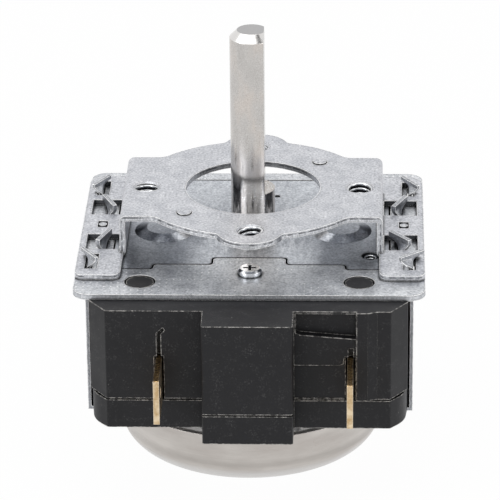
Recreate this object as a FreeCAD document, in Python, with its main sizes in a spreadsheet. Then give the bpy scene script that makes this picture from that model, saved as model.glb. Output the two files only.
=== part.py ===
import FreeCAD, Part
import Sketcher
import math
import os
import re

# Mechanical cooker timer with a bell. Millimetres. The origin is on the spindle's axis, in the
# top face of the mounting bracket; Z runs up along the spindle and -Y is the terminal side.

os.makedirs("parts", exist_ok=True)
doc = FreeCAD.newDocument("CookerTimer")
sheet = doc.addObject("Spreadsheet::Sheet", "Sizes")

SIZES = (
    # mounting bracket
    ("bracketThick", 0.8, "thickness of the bracket's sheet"),
    ("bracketRise", 6.1, "height of the bracket's top face over the top plate"),
    ("ringWidth", 7.2, "width of the ring"),
    ("ringHole", "=ringRadius - ringWidth", "radius of the ring's central hole"),
    ("ringInset", 1.35, "from the ring's edge to a leg's outer face"),
    ("ringRadius", "=legOuter - ringInset", "outer radius of the ring"),
    ("lobeRadius", 4.5, "radius of the lobe round the front and rear screw holes"),
    ("lobeBlend", 1.0, "radius of the hollow between a lobe and the ring"),
    ("strapBlend", 2.0, "radius of the hollow between the ring and a strap"),
    ("screwInset", 1.8, "from the ring's edge to the circle of fixing holes"),
    ("screwCircle", "=ringRadius - screwInset", "radius of the circle of fixing holes"),
    ("screwHole", 1.65, "radius of a fixing hole, tapped M4"),
    ("screwEdge", 0.25, "chamfer round a fixing hole"),
    ("collarRadius", 2.15, "outer radius of the collar under a fixing hole"),
    ("collarTall", 1.2, "height of that collar"),
    ("strapFront", 10.1, "front edge of the straps and legs"),
    ("strapRear", 10.45, "rear edge of the straps and legs"),
    ("legInset", 3.35, "from a leg's outer face to the housing's side"),
    ("legOuter", "=housingHalf - legInset", "from the axis to the outer face of a leg"),
    ("bendInner", 0.15, "inner radius of the bracket's bends"),
    ("footLap", 0.45, "how far the feet's ends reach in past a leg's outer face"),
    ("footFrontInset", 4.55, "from the feet's front edge to the top plate's"),
    ("footFront", "=plateFront - footFrontInset", "front edge of the feet"),
    ("footRearInset", 2.9, "from the feet's rear edge to the top plate's"),
    ("footRear", "=plateRear - footRearInset", "rear edge of the feet"),
    ("footCorner", 2.6, "radius of a foot's rear outer corner"),
    ("footSmallCorner", 1.2, "radius of a foot's other corners"),
    ("pipHole", 1.05, "radius of the two small holes in the ring"),
    ("pipX", "=ringRadius * 0.55", "side distance of the small ring holes"),
    ("pipY", "=ringRadius * 0.543", "depth distance of the small ring holes"),
    ("windowInset", 0.88, "from the windows' centres to the housing's side"),
    ("windowX", "=housingHalf - windowInset", "side distance of the windows' centres in the feet"),
    ("windowWide", 4.55, "width of the windows in the feet"),
    ("windowLong", 5.1, "length of the windows in the feet"),
    ("keyInset", 0.45, "from the square locating holes to the housing's side"),
    ("keyX", "=housingHalf - keyInset", "side distance of the square locating holes"),
    ("keyY", 0.7, "distance of the square locating holes in front of the axis"),
    ("keyWide", 1.35, "width of the square locating holes"),
    ("keyLong", 2.15, "length of the square locating holes"),
    ("footSlotWide", 1.7, "width of the end slots in the feet"),
    ("footSlotShift", 0.3, "how far the end slots stand inside the frame's lugs"),
    ("footSlotLong", 4.9, "length of the end slots in the feet"),
    # plates of the movement
    ("plateMargin", 2.3, "how far the top plate stands out beside the housing"),
    ("plateHalf", "=housingHalf + plateMargin", "half the width of the top plate and feet"),
    ("plateFrontInset", 3.35, "from the top plate's front edge to the housing's front"),
    ("plateFront", "=housingFront - plateFrontInset", "front edge of the top plate"),
    ("plateRearLap", 0.5, "how far the top plate stands out behind the housing"),
    ("plateRear", "=housingRear + plateRearLap", "rear edge of the top plate"),
    ("plateThick", 0.8, "thickness of the top plate"),
    ("plateCorner", 2.2, "corner radius of the top plate"),
    ("movementInset", 2.5, "from the movement plate's side to the housing's"),
    ("movementHalf", "=housingHalf - movementInset", "half the width of the movement plate"),
    ("movementRearInset", 2.1, "from the movement plate's rear edge to the housing's"),
    ("movementRear", "=housingRear - movementRearInset", "rear edge of the movement plate"),
    ("stepInset", 1.9, "from the movement plate's front edge to the deck's rear edge"),
    ("stepFront", "=deckRear - stepInset", "front edge of the movement plate at its sides"),
    ("stepOuterDeep", 1.55, "depth of the outer step"),
    ("stepMiddle", "=stepFront - stepOuterDeep", "front edge of the movement plate between its steps"),
    ("stepInnerDeep", 2.2, "depth of the inner step"),
    ("stepBack", "=stepMiddle - stepInnerDeep", "front edge of the movement plate behind the screw"),
    ("stepOuterInset", 8.0, "from the outer step to the housing's side"),
    ("stepOuterX", "=housingHalf - stepOuterInset", "side distance of the outer step"),
    ("stepInnerX", 5.13, "side distance of the inner step"),
    ("stepShift", 0.2, "how far the steps stand to the left of the middle"),
    ("stepRound", 0.6, "rounding of the steps' corners"),
    ("plateGap", 0.25, "gap between the movement plate and the top plate's window"),
    ("bossInset", 5.65, "from a raised boss to a leg's outer face"),
    ("bossX", "=legOuter - bossInset", "side distance of the two raised bosses"),
    ("bossY", 0.9, "distance of the raised bosses in front of the axis"),
    ("bossFoot", 4.15, "radius of a raised boss at its foot"),
    ("bossTop", 2.5, "radius of a raised boss at its top"),
    ("bossRise", 0.55, "height of a raised boss"),
    ("springHoleInset", 2.5, "from the hole beside the right leg to the plate's side"),
    ("springHoleX", "=movementHalf - springHoleInset", "side distance of the hole beside the right leg"),
    ("springHoleY", 9.3, "distance of that hole in front of the axis"),
    ("springHole", 1.25, "radius of that hole"),
    ("pegInset", 6.5, "from the moulded pegs to the housing's side"),
    ("pegX", "=housingHalf - pegInset", "side distance of the moulded pegs"),
    ("pegForward", 2.3, "from the moulded pegs to the deck's rear edge"),
    ("pegY", "=deckRear + pegForward", "distance of the moulded pegs in front of the axis"),
    ("peg", 1.85, "radius of a moulded peg"),
    ("pegGap", 0.25, "gap round a moulded peg in its hole"),
    ("keyPip", 0.55, "radius of the pressed pips that locate the feet"),
    ("caseHeight", 9.7, "clear height between the two movement plates"),
    ("lowerThick", 0.6, "thickness of the lower movement plate and its legs"),
    ("lowerFrontGap", 0.35, "gap between the lower movement plate and the screw boss"),
    ("lowerFront", "=screwY - screwBoss - lowerFrontGap", "front edge of the lower movement plate"),
    ("lowerSideGap", 0.5, "gap between the lower movement plate and the housing's wall"),
    ("lowerHalf", "=housingHalf - wall - lowerSideGap", "half the width of the lower movement plate"),
    ("lowerCorner", 2.0, "radius of the lower movement plate's rear corners"),
    ("caseLegInset", 1.0, "from the middle of the lower plate's legs to the housing's side"),
    ("caseLegX", "=housingHalf - caseLegInset", "from the axis to the middle of the lower plate's legs"),
    ("caseLegWide", 4.2, "width of the lower plate's legs"),
    ("lugGap", 0.15, "clearance of a lug in its slot"),
    ("lugTop", 4.2, "depth of the twisted lugs' ends under the bracket's top face"),
    # frame round the housing
    ("frameThick", 0.45, "thickness of the frame's sheet"),
    ("frameGap", 0.3, "gap between the frame and the housing"),
    ("frameFrontInset", 6.25, "from the frame's front edge to the housing's front"),
    ("frameFront", "=housingFront - frameFrontInset", "front edge of the frame"),
    ("frameRearInset", 3.2, "from the frame's rear edge to the housing's rear"),
    ("frameRear", "=housingRear - frameRearInset", "rear edge of the frame"),
    ("frameLugWide", 4.1, "width of the frame's lugs"),
    ("frontLugInset", 6.1, "from the middle of the front lugs to the frame's front edge"),
    ("frontLugY", "=frameFront - frontLugInset", "middle of the front lugs"),
    ("rearLugInset", 3.7, "from the middle of the rear lugs to the frame's rear edge"),
    ("rearLugY", "=frameRear - rearLugInset", "middle of the rear lugs"),
    ("rearWindowY", 5.15, "middle of the rear windows and legs"),
    ("frontWindowY", 6.6, "middle of the front windows and legs"),
    # moulded housing
    ("housingHalf", 21.1, "half the width of the housing"),
    ("housingFront", 25.45, "front face of the housing"),
    ("housingRear", 18.7, "rear face of the housing"),
    ("housingHeight", 12.8, "height of the upper housing"),
    ("coverHeight", 4.3, "height of the lower cover"),
    ("chamferX", 2.3, "width of the front corners' chamfer"),
    ("chamferY", 3.2, "depth of the front corners' chamfer"),
    ("rearChamfer", 1.6, "size of the rear corners' chamfer"),
    ("wall", 1.6, "wall of the housing"),
    ("floorThick", 1.35, "floor of the cover"),
    ("deckLong", 9.85, "length of the housing's front deck"),
    ("deckRear", "=housingFront - deckLong", "rear edge of the housing's front deck"),
    ("blockHalf", 6.0, "half the width of the front block"),
    ("blockOut", 4.85, "how far the front block stands out"),
    ("blockFront", "=housingFront + blockOut", "front face of the front block"),
    ("coverCornerX", 0.35, "from the bend of the cover's front corner to its side"),
    ("coverCornerY", 2.2, "from the bend of the cover's front corner to its front"),
    ("coverCornerLong", 5.5, "from the end of the cover's front corner to its front"),
    ("coverRound", 5.0, "rounding of the cover's front corners"),
    ("seamTall", 0.25, "height of the seam's groove"),
    ("seamDeep", 0.2, "depth of the seam's groove"),
    ("mouldRound", 0.35, "rounding of the mouldings' upright edges"),
    ("pocketInner", "=blockHalf + 0.25", "inner edge of the shallow front pocket"),
    ("pocketPast", 0.8, "how far the pocket reaches past the right blade's middle"),
    ("pocketOuter", "=rightBladeX + pocketPast", "outer edge of the shallow front pocket"),
    ("pocketTop", 0.35, "depth of the pocket's top under the deck"),
    ("pocketBottom", 3.7, "depth of the pocket's bottom under the deck"),
    ("pocketDeep", 1.1, "depth of the shallow front pocket"),
    ("pocketSlope", 0.3, "rise and fall of the pocket's bottom at its two ends"),
    ("panelTop", 7.85, "depth of the sunk panel's top under the deck"),
    ("panelInner", "=blockHalf", "inner edge of the sunk panel"),
    ("panelOuter", "=rightBladeX - bladeThick / 2 - slotGap", "outer edge of the sunk panel"),
    ("panelRise", 0.75, "size of the panel's rise at the right terminal"),
    ("panelDeep", 0.3, "depth of the sunk panel"),
    ("ribInner", "=pocketOuter", "inner edge of the rib beside the right terminal"),
    ("ribWide", 1.5, "width of that rib's flat"),
    ("ribOuter", "=ribInner + ribWide", "outer edge of that rib's flat"),
    ("ribSlope", 1.25, "width of that rib's sloping side"),
    ("ribFoot", "=ribOuter + ribSlope", "outer edge of that rib's sloping side"),
    ("ribOut", 0.5, "how far that rib stands out"),
    ("grooveDeep", 0.8, "depth of the groove over the left terminal"),
    ("shortGroove", 1.3, "length of the short groove over the right terminal"),
    ("grooveHook", 0.9, "height of the groove's bent end"),
    ("grooveTop", 2.5, "depth of the groove's top under the deck"),
    ("grooveHalf", 0.27, "half the width of the groove"),
    ("screwBack", 0.35, "from the plate screw to the deck's rear edge"),
    ("screwY", "=deckRear - screwBack", "distance of the plate screw in front of the axis"),
    ("screwBoss", 2.3, "radius of the boss under the plate screw"),
    ("screwBore", 0.85, "radius of the plate screw's thread"),
    ("screwHead", 1.62, "radius of the plate screw's head"),
    ("screwHeadTall", 0.9, "height of the plate screw's head"),
    ("screwLong", 6.0, "length of the plate screw under its head"),
    # terminals and contacts
    ("bladeThick", 0.8, "thickness of a blade terminal"),
    ("bladeTall", 6.3, "width of a blade terminal"),
    ("bladeSeat", 0.2, "how far a blade reaches down into the cover"),
    ("bladeTop", "=housingHeight + bladeSeat - bladeTall", "depth of a blade's upper edge under the deck"),
    ("bladeChamfer", 0.2, "chamfer of a blade's tip"),
    ("bladeHole", 0.85, "radius of the hole in a blade"),
    ("slotGap", 0.22, "gap at each side of a blade in its slot"),
    ("leftBladeInset", 9.3, "from the left blade to the housing's side"),
    ("leftBladeX", "=housingHalf - leftBladeInset", "side distance of the left blade"),
    ("leftBladeOut", 7.55, "how far the left blade stands out"),
    ("leftBladeTip", "=housingFront + leftBladeOut", "tip of the left blade"),
    ("rightBladeInset", 7.6, "from the right blade to the housing's side"),
    ("rightBladeX", "=housingHalf - rightBladeInset", "side distance of the right blade"),
    ("rightBladeOut", 8.45, "how far the right blade stands out"),
    ("rightBladeTip", "=housingFront + rightBladeOut", "tip of the right blade"),
    ("contactLow", 21.7, "depth of the contact strips' lower edge"),
    ("contactHigh", 18.7, "depth of the contact strips' upper edge"),
    ("stripThick", 0.4, "thickness of the fixed contact strip"),
    ("leafThick", 0.3, "thickness of the moving contact leaf"),
    ("leafGap", 1.9, "from the switch cam to the leaf's front face"),
    ("leafY", "=camRadius + leafGap", "front face of the moving contact leaf"),
    ("contactX", 4.0, "side distance of the contact rivets"),
    ("contactRadius", 1.1, "radius of the contact rivets"),
    ("contactTall", 0.7, "height of the contact rivets"),
    ("contactGap", 0.6, "gap between the contact rivets"),
    # spindle and cam
    ("spindleRadius", 3.0, "radius of the spindle"),
    ("spindleTop", 23.0, "height of the spindle's end"),
    ("flatX", 1.65, "from the axis to the spindle's flat"),
    ("spindleChamfer", 1.0, "chamfer of the spindle's end"),
    ("arborRadius", 2.5, "radius of the spindle inside the movement"),
    ("journalRadius", 2.0, "radius of the spindle's lower journal"),
    ("runningGap", 0.06, "radial clearance of a turning shaft"),
    ("camRadius", 6.5, "radius of the switch cam"),
    ("camNotch", 1.2, "depth of the switch cam's notch"),
    ("camThick", 2.6, "thickness of the switch cam"),
    ("camDrop", 0.7, "gap between the lower plate and the cam"),
    # wheel train
    ("mainModule", "=min(housingHalf / 63.3; housingRear / 56.1)", "module of the main wheel"),
    ("secondModule", "=mainModule * 0.9", "module of the second wheel and third pinion"),
    ("thirdModule", "=mainModule * 0.6", "module of the third wheel and escape pinion"),
    ("mainTeeth", 60, "teeth of the main wheel"),
    ("secondTeeth", 50, "teeth of the second wheel"),
    ("thirdTeeth", 50, "teeth of the third wheel"),
    ("escapeTeeth", 15, "teeth of the escape wheel"),
    ("pinionTeeth", 10, "teeth of each pinion"),
    ("wheelThick", 0.7, "thickness of the wheels"),
    ("pinionTall", 1.5, "length of the pinions' teeth"),
    ("stemRadius", 0.55, "radius of the wheels' arbors"),
    ("pivotRadius", 0.35, "radius of the arbors' pivots"),
    ("endShake", 0.15, "end clearance of the arbors"),
    ("meshSlack", 0.06, "extra centre distance of each pair in mesh"),
    ("secondAngle", 150, "direction of the second arbor from the spindle"),
    ("thirdAngle", 38, "direction of the third arbor from the second"),
    ("escapeAngle", -4, "direction of the escape arbor from the third"),
    ("balanceAngle", -12, "direction of the balance staff from the escape arbor"),
    ("mainLevel", 2.3, "depth of the main wheel under the top plate"),
    ("secondLevel", 0.9, "depth of the second wheel under the top plate"),
    ("thirdLevel", 8.2, "depth of the third wheel under the top plate"),
    ("escapeLevel", 5.6, "depth of the escape wheel under the top plate"),
    ("balanceLevel", 3.9, "depth of the balance bar under the top plate"),
    ("escapeRadius", "=mainModule * 12", "radius of the escape wheel"),
    ("balanceReach", "=mainModule * 16.2", "radius of the balance bar"),
    ("balanceDistance", "=mainModule * 18", "from the escape arbor to the balance staff"),
    ("springInner", 2.56, "inner radius of the mainspring"),
    ("springPitch", 0.95, "pitch of the mainspring's coils"),
    ("springThick", 0.35, "thickness of the mainspring's strip"),
    ("springTall", 4.2, "width of the mainspring's strip"),
    ("springLevel", 3.6, "depth of the mainspring under the top plate"),
    ("springCoils", 4, "coils of the mainspring"),
    ("springPost", 0.6, "radius of the post that holds the mainspring's end"),
    ("pillarRadius", 1.1, "radius of the movement's pillars"),
    ("pillarFrontInset", 5.6, "from the front pillars to the housing's side"),
    ("pillarFrontX", "=housingHalf - pillarFrontInset", "side distance of the front pillars"),
    ("pillarFrontY", 6.5, "distance of the front pillars in front of the axis"),
    ("pillarRearInset", 4.3, "from the rear pillars to the housing's side"),
    ("pillarRearX", "=housingHalf - pillarRearInset", "side distance of the rear pillars"),
    ("pillarRearY", "=movementRear - 1.8", "distance of the rear pillars behind the axis"),
    # bell
    ("bellRim", 19.5, "outer radius of the bell's rim"),
    ("bellBase", 17.3, "outer radius of the bell at its base corner"),
    ("bellTop", 28.6, "depth of the bell's rim"),
    ("bellBottom", 36.85, "depth of the bell's base"),
    ("bellCorner", 3.9, "outer radius of the bell's lower corner"),
    ("bellThick", 0.9, "thickness of the bell"),
    ("dimpleRadius", 5.2, "radius of the dimple round the bell's screw"),
    ("dimpleRise", 1.7, "height of the dimple"),
    ("bellPost", 2.6, "radius of the bell's post"),
    ("bellScrew", 1.5, "radius of the bell's screw"),
    ("bellHead", 2.9, "radius of the bell screw's head"),
    ("bellHeadTall", 1.1, "height of the bell screw's head"),
    ("hammerX", 11.0, "side distance of the hammer's pivot"),
    ("hammerY", 8.0, "distance of the hammer's pivot behind the axis"),
    ("headX", 2.0, "side distance of the hammer's head"),
    ("headY", 14.9, "distance of the hammer's head behind the axis"),
    ("armDrop", 0.9, "gap between the frame and the hammer's arm"),
    ("armThick", 0.8, "thickness of the hammer's arm"),
    ("armHalf", 1.1, "half the width of the hammer's arm"),
    ("headRadius", 1.6, "radius of the hammer's head"),
    ("bellShift", 0.53, "how far the bell stands to the left of the spindle's axis"),
    ("bellScrewLong", 3.6, "length of the bell's screw in its post"),
    ("postBore", 4.0, "depth of the bell post's thread"),
    ("studRadius", 0.8, "radius of the hammer's stud"),
    ("headTall", 5.2, "height of the hammer's head"),
)
NAMES = {name for name, value, note in SIZES}
for row, (name, value, note) in enumerate(SIZES, start=1):
    sheet.setAlias(f"B{row}", name)
for row, (name, value, note) in enumerate(SIZES, start=1):
    sheet.set(f"A{row}", name)
    sheet.set(f"B{row}", str(value))
    sheet.set(f"C{row}", note)
doc.recompute()

# levels, all measured down from the bracket's top face
PLATE_TOP = "-bracketRise"
PLATE_BOTTOM = "-bracketRise - plateThick"
SEAM = PLATE_BOTTOM + " - housingHeight"
COVER_BOTTOM = SEAM + " - coverHeight"
FRAME_BOTTOM = COVER_BOTTOM + " - frameThick"
LOWER_TOP = PLATE_BOTTOM + " - caseHeight"
LOWER_BOTTOM = LOWER_TOP + " - lowerThick"
FOOT_TOP = PLATE_TOP + " + bracketThick"
FRAME_INNER = "housingHalf + frameGap"
FRAME_OUTER = FRAME_INNER + " + frameThick"
FRAME_MIDDLE = FRAME_INNER + " + frameThick / 2"
DECK = PLATE_BOTTOM
BLADE_TOP = f"({DECK} - bladeTop)"
BLADE_BOTTOM = f"({DECK} - bladeTop - bladeTall)"

nodes = {}


def formula(text):
    """The same formula with the sheet's name before each of its aliases."""
    def swap(word):
        return "Sizes." + word.group() if word.group() in NAMES else word.group()
    return re.sub(r"[A-Za-z]+", swap, str(text))


def size(name):
    return float(sheet.get(name))


def bind(item, place, text):
    item.setExpression(place, formula(text))


def negative(text):
    return f"-({text})"


def mirrored(side, text):
    """A side distance: side is 1 on the right and -1 on the left."""
    return text if side > 0 else negative(text)


def span(side, low, high):
    """The low and high ends of a side-to-side span that starts on the right."""
    return (low, high) if side > 0 else (negative(high), negative(low))


def polygon(*corners):
    return "polygon", corners


def rectangle(low_x, high_x, low_y, high_y):
    return polygon((low_x, low_y), (high_x, low_y), (high_x, high_y), (low_x, high_y))


def circle(x, y, radius):
    return "circle", x, y, radius


def pin_point(sketch, line, point, x, y, start):
    """Hold one point of a sketch at two formulas."""
    for kind, text, value in (("DistanceX", x, start.x), ("DistanceY", y, start.y)):
        index = sketch.addConstraint(Sketcher.Constraint(kind, -1, 1, line, point, value))
        bind(sketch, f"Constraints[{index}]", text)


def draw_polygon(sketch, corners):
    count = len(corners)
    turn = 2 * math.pi / count
    away = size("spindleTop")
    starts = [FreeCAD.Vector(math.cos(k * turn), math.sin(k * turn), 0) * away for k in range(count)]
    lines = [Part.LineSegment(starts[k], starts[(k + 1) % count]) for k in range(count)]
    first = sketch.GeometryCount
    sketch.addGeometry(lines, False)
    joins = [Sketcher.Constraint("Coincident", first + k, 2, first + (k + 1) % count, 1)
             for k in range(count)]
    sketch.addConstraint(joins)
    for k, (x, y) in enumerate(corners):
        pin_point(sketch, first + k, 1, x, y, starts[k])


def draw_circle(sketch, x, y, radius):
    centre = FreeCAD.Vector(0, 0, 0)
    index = sketch.addGeometry(Part.Circle(centre, FreeCAD.Vector(0, 0, 1), 1), False)
    pin_point(sketch, index, 3, x, y, centre)
    constraint = sketch.addConstraint(Sketcher.Constraint("Radius", index, 1))
    bind(sketch, f"Constraints[{constraint}]", radius)


def new_body(name):
    body = doc.addObject("PartDesign::Body", name)
    body.Label = name
    nodes[name] = body
    return body


def origin_part(body, role):
    return next(item for item in body.Origin.OriginFeatures if item.Role == role)


def new_sketch(body, name, plane, level, shapes):
    sketch = body.newObject("Sketcher::SketchObject", name + "_sketch")
    sketch.AttachmentSupport = [(origin_part(body, plane + "_Plane"), "")]
    sketch.MapMode = "FlatFace"
    bind(sketch, "AttachmentOffset.Base.z", level)
    for shape in shapes:
        if shape[0] == "circle":
            draw_circle(sketch, *shape[1:])
        else:
            draw_polygon(sketch, shape[1])
    return sketch


def pad(body, name, plane, shapes, low, high):
    """Material between two levels along the plane's axis."""
    level = negative(high) if plane == "XZ" else low
    sketch = new_sketch(body, name, plane, level, shapes)
    feature = body.newObject("PartDesign::Pad", name)
    feature.Profile = sketch
    bind(feature, "Length", f"({high}) - ({low})")
    return feature


def pocket(body, name, plane, shapes, low, high):
    """A cut between two levels along the plane's axis."""
    level = negative(low) if plane == "XZ" else high
    sketch = new_sketch(body, name, plane, level, shapes)
    feature = body.newObject("PartDesign::Pocket", name)
    feature.Profile = sketch
    bind(feature, "Length", f"({high}) - ({low})")
    return feature


def revolve(body, name, outline):
    """A turned solid from a half section in the XZ plane."""
    sketch = new_sketch(body, name, "XZ", "0", [outline])
    feature = body.newObject("PartDesign::Revolution", name)
    feature.Profile = sketch
    feature.ReferenceAxis = (sketch, ["V_Axis"])
    feature.Angle = 360
    return feature


def edges_where(shape, test):
    return [f"Edge{k + 1}" for k, edge in enumerate(shape.Edges) if test(edge)]


def upright_at(places, slack=0.05):
    """A test for straight upright edges that stand at one of the given places."""
    def test(edge):
        box = edge.BoundBox
        if box.XLength > slack or box.YLength > slack or box.ZLength < slack:
            return False
        return any(abs(box.XMin - x) < slack and abs(box.YMin - y) < slack for x, y in places)
    return test


def round_edges(body, name, test, radius, kind="Fillet"):
    doc.recompute()
    base = body.Tip
    feature = body.newObject("PartDesign::" + kind, name)
    feature.Base = (base, edges_where(base.Shape, test))
    bind(feature, "Radius" if kind == "Fillet" else "Size", radius)
    return feature


def twisted_lug(body, name, x, y, width, thick, low, high, turn):
    """A sheet lug that turns about its own middle in its lower part and is straight above."""
    sections = []
    outline = rectangle(f"-{thick} / 2", f"{thick} / 2", f"-{width} / 2", f"{width} / 2")
    for step, (share, turned) in enumerate(((0, 0), (0.2, 0.3), (0.4, 0.7), (0.6, 1), (1, 1))):
        level = f"({low}) + (({high}) - ({low})) * {share}"
        sketch = new_sketch(body, f"{name}_{step}", "XY", level, [outline])
        bind(sketch, "AttachmentOffset.Base.x", x)
        bind(sketch, "AttachmentOffset.Base.y", y)
        bind(sketch, "AttachmentOffset.Rotation.Angle", f"{turn * turned}")
        sections.append(sketch)
    feature = body.newObject("PartDesign::AdditiveLoft", name)
    feature.Profile = sections[0]
    feature.Sections = sections[1:]
    feature.Ruled = True
    return feature


def cylinder(name, x, y, low, high, radius):
    item = doc.addObject("Part::Cylinder", name)
    bind(item, "Radius", radius)
    bind(item, "Height", f"({high}) - ({low})")
    bind(item, "Placement.Base.x", x)
    bind(item, "Placement.Base.y", y)
    bind(item, "Placement.Base.z", low)
    return item


def fuse(name, items):
    result = doc.addObject("Part::MultiFuse", name)
    result.Shapes = items
    return result


def cut(name, base, tool):
    result = doc.addObject("Part::Cut", name)
    result.Base = base
    result.Tool = tool
    return result


def keep(name, item):
    item.Label = name
    nodes[name] = item
    return item


# Bracket: a ring on two straps, with legs bent down and out to a foot on each side.
def mounting_bracket():
    body = new_body("mounting_bracket")
    outer = "legOuter"
    inner = "legOuter - bracketThick"
    pad(body, "bracket_strap", "XZ", [polygon(
        (negative(outer), "0"), (outer, "0"), (outer, FOOT_TOP), ("plateHalf", FOOT_TOP),
        ("plateHalf", PLATE_TOP), (inner, PLATE_TOP), (inner, "-bracketThick"),
        (negative(inner), "-bracketThick"), (negative(inner), PLATE_TOP),
        ("-plateHalf", PLATE_TOP), ("-plateHalf", FOOT_TOP), (negative(outer), FOOT_TOP))],
        "-strapFront", "strapRear")
    doc.recompute()
    x_outer = size("legOuter")
    x_inner = x_outer - size("bracketThick")
    z_under = -size("bracketThick")
    z_plate = -size("bracketRise")
    z_foot = z_plate + size("bracketThick")

    def bend_edge(places):
        def test(edge):
            box = edge.BoundBox
            if box.YLength < 1:
                return False
            return any(abs(abs(box.XMin) - x) < 0.01 and abs(box.ZMin - z) < 0.01 for x, z in places)
        return test

    round_edges(body, "bracket_bend_inner", bend_edge([(x_inner, z_under), (x_outer, z_foot)]), "bendInner")
    round_edges(body, "bracket_bend_outer", bend_edge([(x_outer, 0), (x_inner, z_plate)]),
                "bendInner + bracketThick")
    pad(body, "bracket_ring", "XY", [circle("0", "0", "ringRadius")], "-bracketThick", "0")
    ring = size("ringRadius")
    strap_corners = [(side * math.sqrt(ring ** 2 - y ** 2), y)
                     for side in (1, -1) for y in (-size("strapFront"), size("strapRear"))]
    round_edges(body, "bracket_strap_blends", upright_at(strap_corners), "strapBlend")
    for side, label in ((1, "rear"), (-1, "front")):
        pad(body, f"bracket_lobe_{label}", "XY",
            [circle("0", mirrored(side, "screwCircle"), "lobeRadius")], "-bracketThick", "0")
    reach = size("screwCircle")
    lobe_y = (ring ** 2 + reach ** 2 - size("lobeRadius") ** 2) / (2 * reach)
    lobe_x = math.sqrt(ring ** 2 - lobe_y ** 2)
    lobe_corners = [(side * lobe_x, end * lobe_y) for side in (1, -1) for end in (1, -1)]
    round_edges(body, "bracket_lobe_blends", upright_at(lobe_corners), "lobeBlend")
    for side, label in ((1, "right"), (-1, "left")):
        pad(body, f"bracket_foot_{label}", "XY", [foot_plan(side)], PLATE_TOP, FOOT_TOP)
    half, near_x = size("plateHalf"), size("legOuter") - size("footLap")
    front, rear = -size("footFront"), size("footRear")
    round_edges(body, "bracket_rear_corners", upright_at([(half, rear), (-half, rear)]), "footCorner")
    small = [(half, front), (near_x, front), (near_x, rear)]
    small += [(-x, y) for x, y in small]
    round_edges(body, "bracket_front_corners", upright_at(small), "footSmallCorner")
    places = [("screwCircle", "0"), ("-screwCircle", "0"), ("0", "screwCircle"), ("0", "-screwCircle")]
    pad(body, "bracket_collars", "XY", [circle(x, y, "collarRadius") for x, y in places],
        "-bracketThick - collarTall", "-bracketThick")
    pocket(body, "bracket_centre_hole", "XY", [circle("0", "0", "ringHole")], "-bracketThick", "0")
    pocket(body, "bracket_pip_holes", "XY",
           [circle("pipX", "pipY", "pipHole"), circle("-pipX", "-pipY", "pipHole")], "-bracketThick", "0")
    pocket(body, "bracket_screw_holes", "XY", [circle(x, y, "screwHole") for x, y in places],
           "-bracketThick - collarTall", "0")

    def hole_rim(edge):
        box = edge.BoundBox
        flat_at_top = abs(box.ZMin) < 0.01 and box.ZLength < 0.01
        return flat_at_top and abs(box.XLength - 2 * size("screwHole")) < 0.01

    round_edges(body, "bracket_hole_edges", hole_rim, "screwEdge", "Chamfer")
    openings = []
    for side in (1, -1):
        openings.append(centred(side, "windowX", "rearWindowY", "windowWide", "windowLong"))
        openings.append(centred(side, "windowX", "-frontWindowY", "windowWide", "windowLong"))
        openings.append(centred(side, "keyX", "-keyY", "keyWide", "keyLong"))
        slot_x = FRAME_MIDDLE + " - footSlotShift"
        openings.append(centred(side, slot_x, "rearLugY", "footSlotWide", "footSlotLong"))
        openings.append(centred(side, slot_x, "-frontLugY", "footSlotWide", "footSlotLong"))
    pocket(body, "bracket_foot_openings", "XY", openings, PLATE_TOP, FOOT_TOP)


def foot_plan(side):
    """A foot's outline: it starts beside the leg's bend and laps in past the leg at both ends."""
    lap, root = "legOuter - footLap", "legOuter + bendInner"
    right = [(lap, "-footFront"), ("plateHalf", "-footFront"), ("plateHalf", "footRear"), (lap, "footRear"),
             (lap, "strapRear"), (root, "strapRear"), (root, "-strapFront"), (lap, "-strapFront")]
    return polygon(*[(mirrored(side, x), y) for x, y in right])


def centred(side, x, y, width, length):
    """A rectangle about a point on the right or left side."""
    low, high = span(side, f"({x}) - ({width}) / 2", f"({x}) + ({width}) / 2")
    return rectangle(low, high, f"({y}) - ({length}) / 2", f"({y}) + ({length}) / 2")


def stepped_outline(grow):
    """The movement plate's outline, with its steps at the front, grown by a gap."""
    side, rear = f"movementHalf + {grow}", f"movementRear + {grow}"
    front, middle, back = f"-stepFront - {grow}", f"-stepMiddle - {grow}", f"-stepBack - {grow}"
    steps = [("stepOuterX", front), ("stepOuterX", middle), ("stepInnerX", middle), ("stepInnerX", back)]
    right = [(f"{x} - stepShift - {grow}", y) for x, y in steps]
    left = [(f"-({x} + stepShift - {grow})", y) for x, y in reversed(steps)]
    ends = [(negative(side), front), (negative(side), rear)]
    return polygon((side, rear), (side, front), *right, *left, *ends)


def round_steps(body, name, grow):
    """Round the corners of the stepped front edge."""
    outer, inner = size("stepOuterX") - grow, size("stepInnerX") - grow
    front, middle, back = (-size(y) - grow for y in ("stepFront", "stepMiddle", "stepBack"))
    steps = [(outer, front), (outer, middle), (inner, middle), (inner, back)]
    shift = size("stepShift")
    places = [(x - shift, y) for x, y in steps] + [(-x - shift, y) for x, y in steps]
    round_edges(body, name, upright_at(places), "stepRound")


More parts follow.
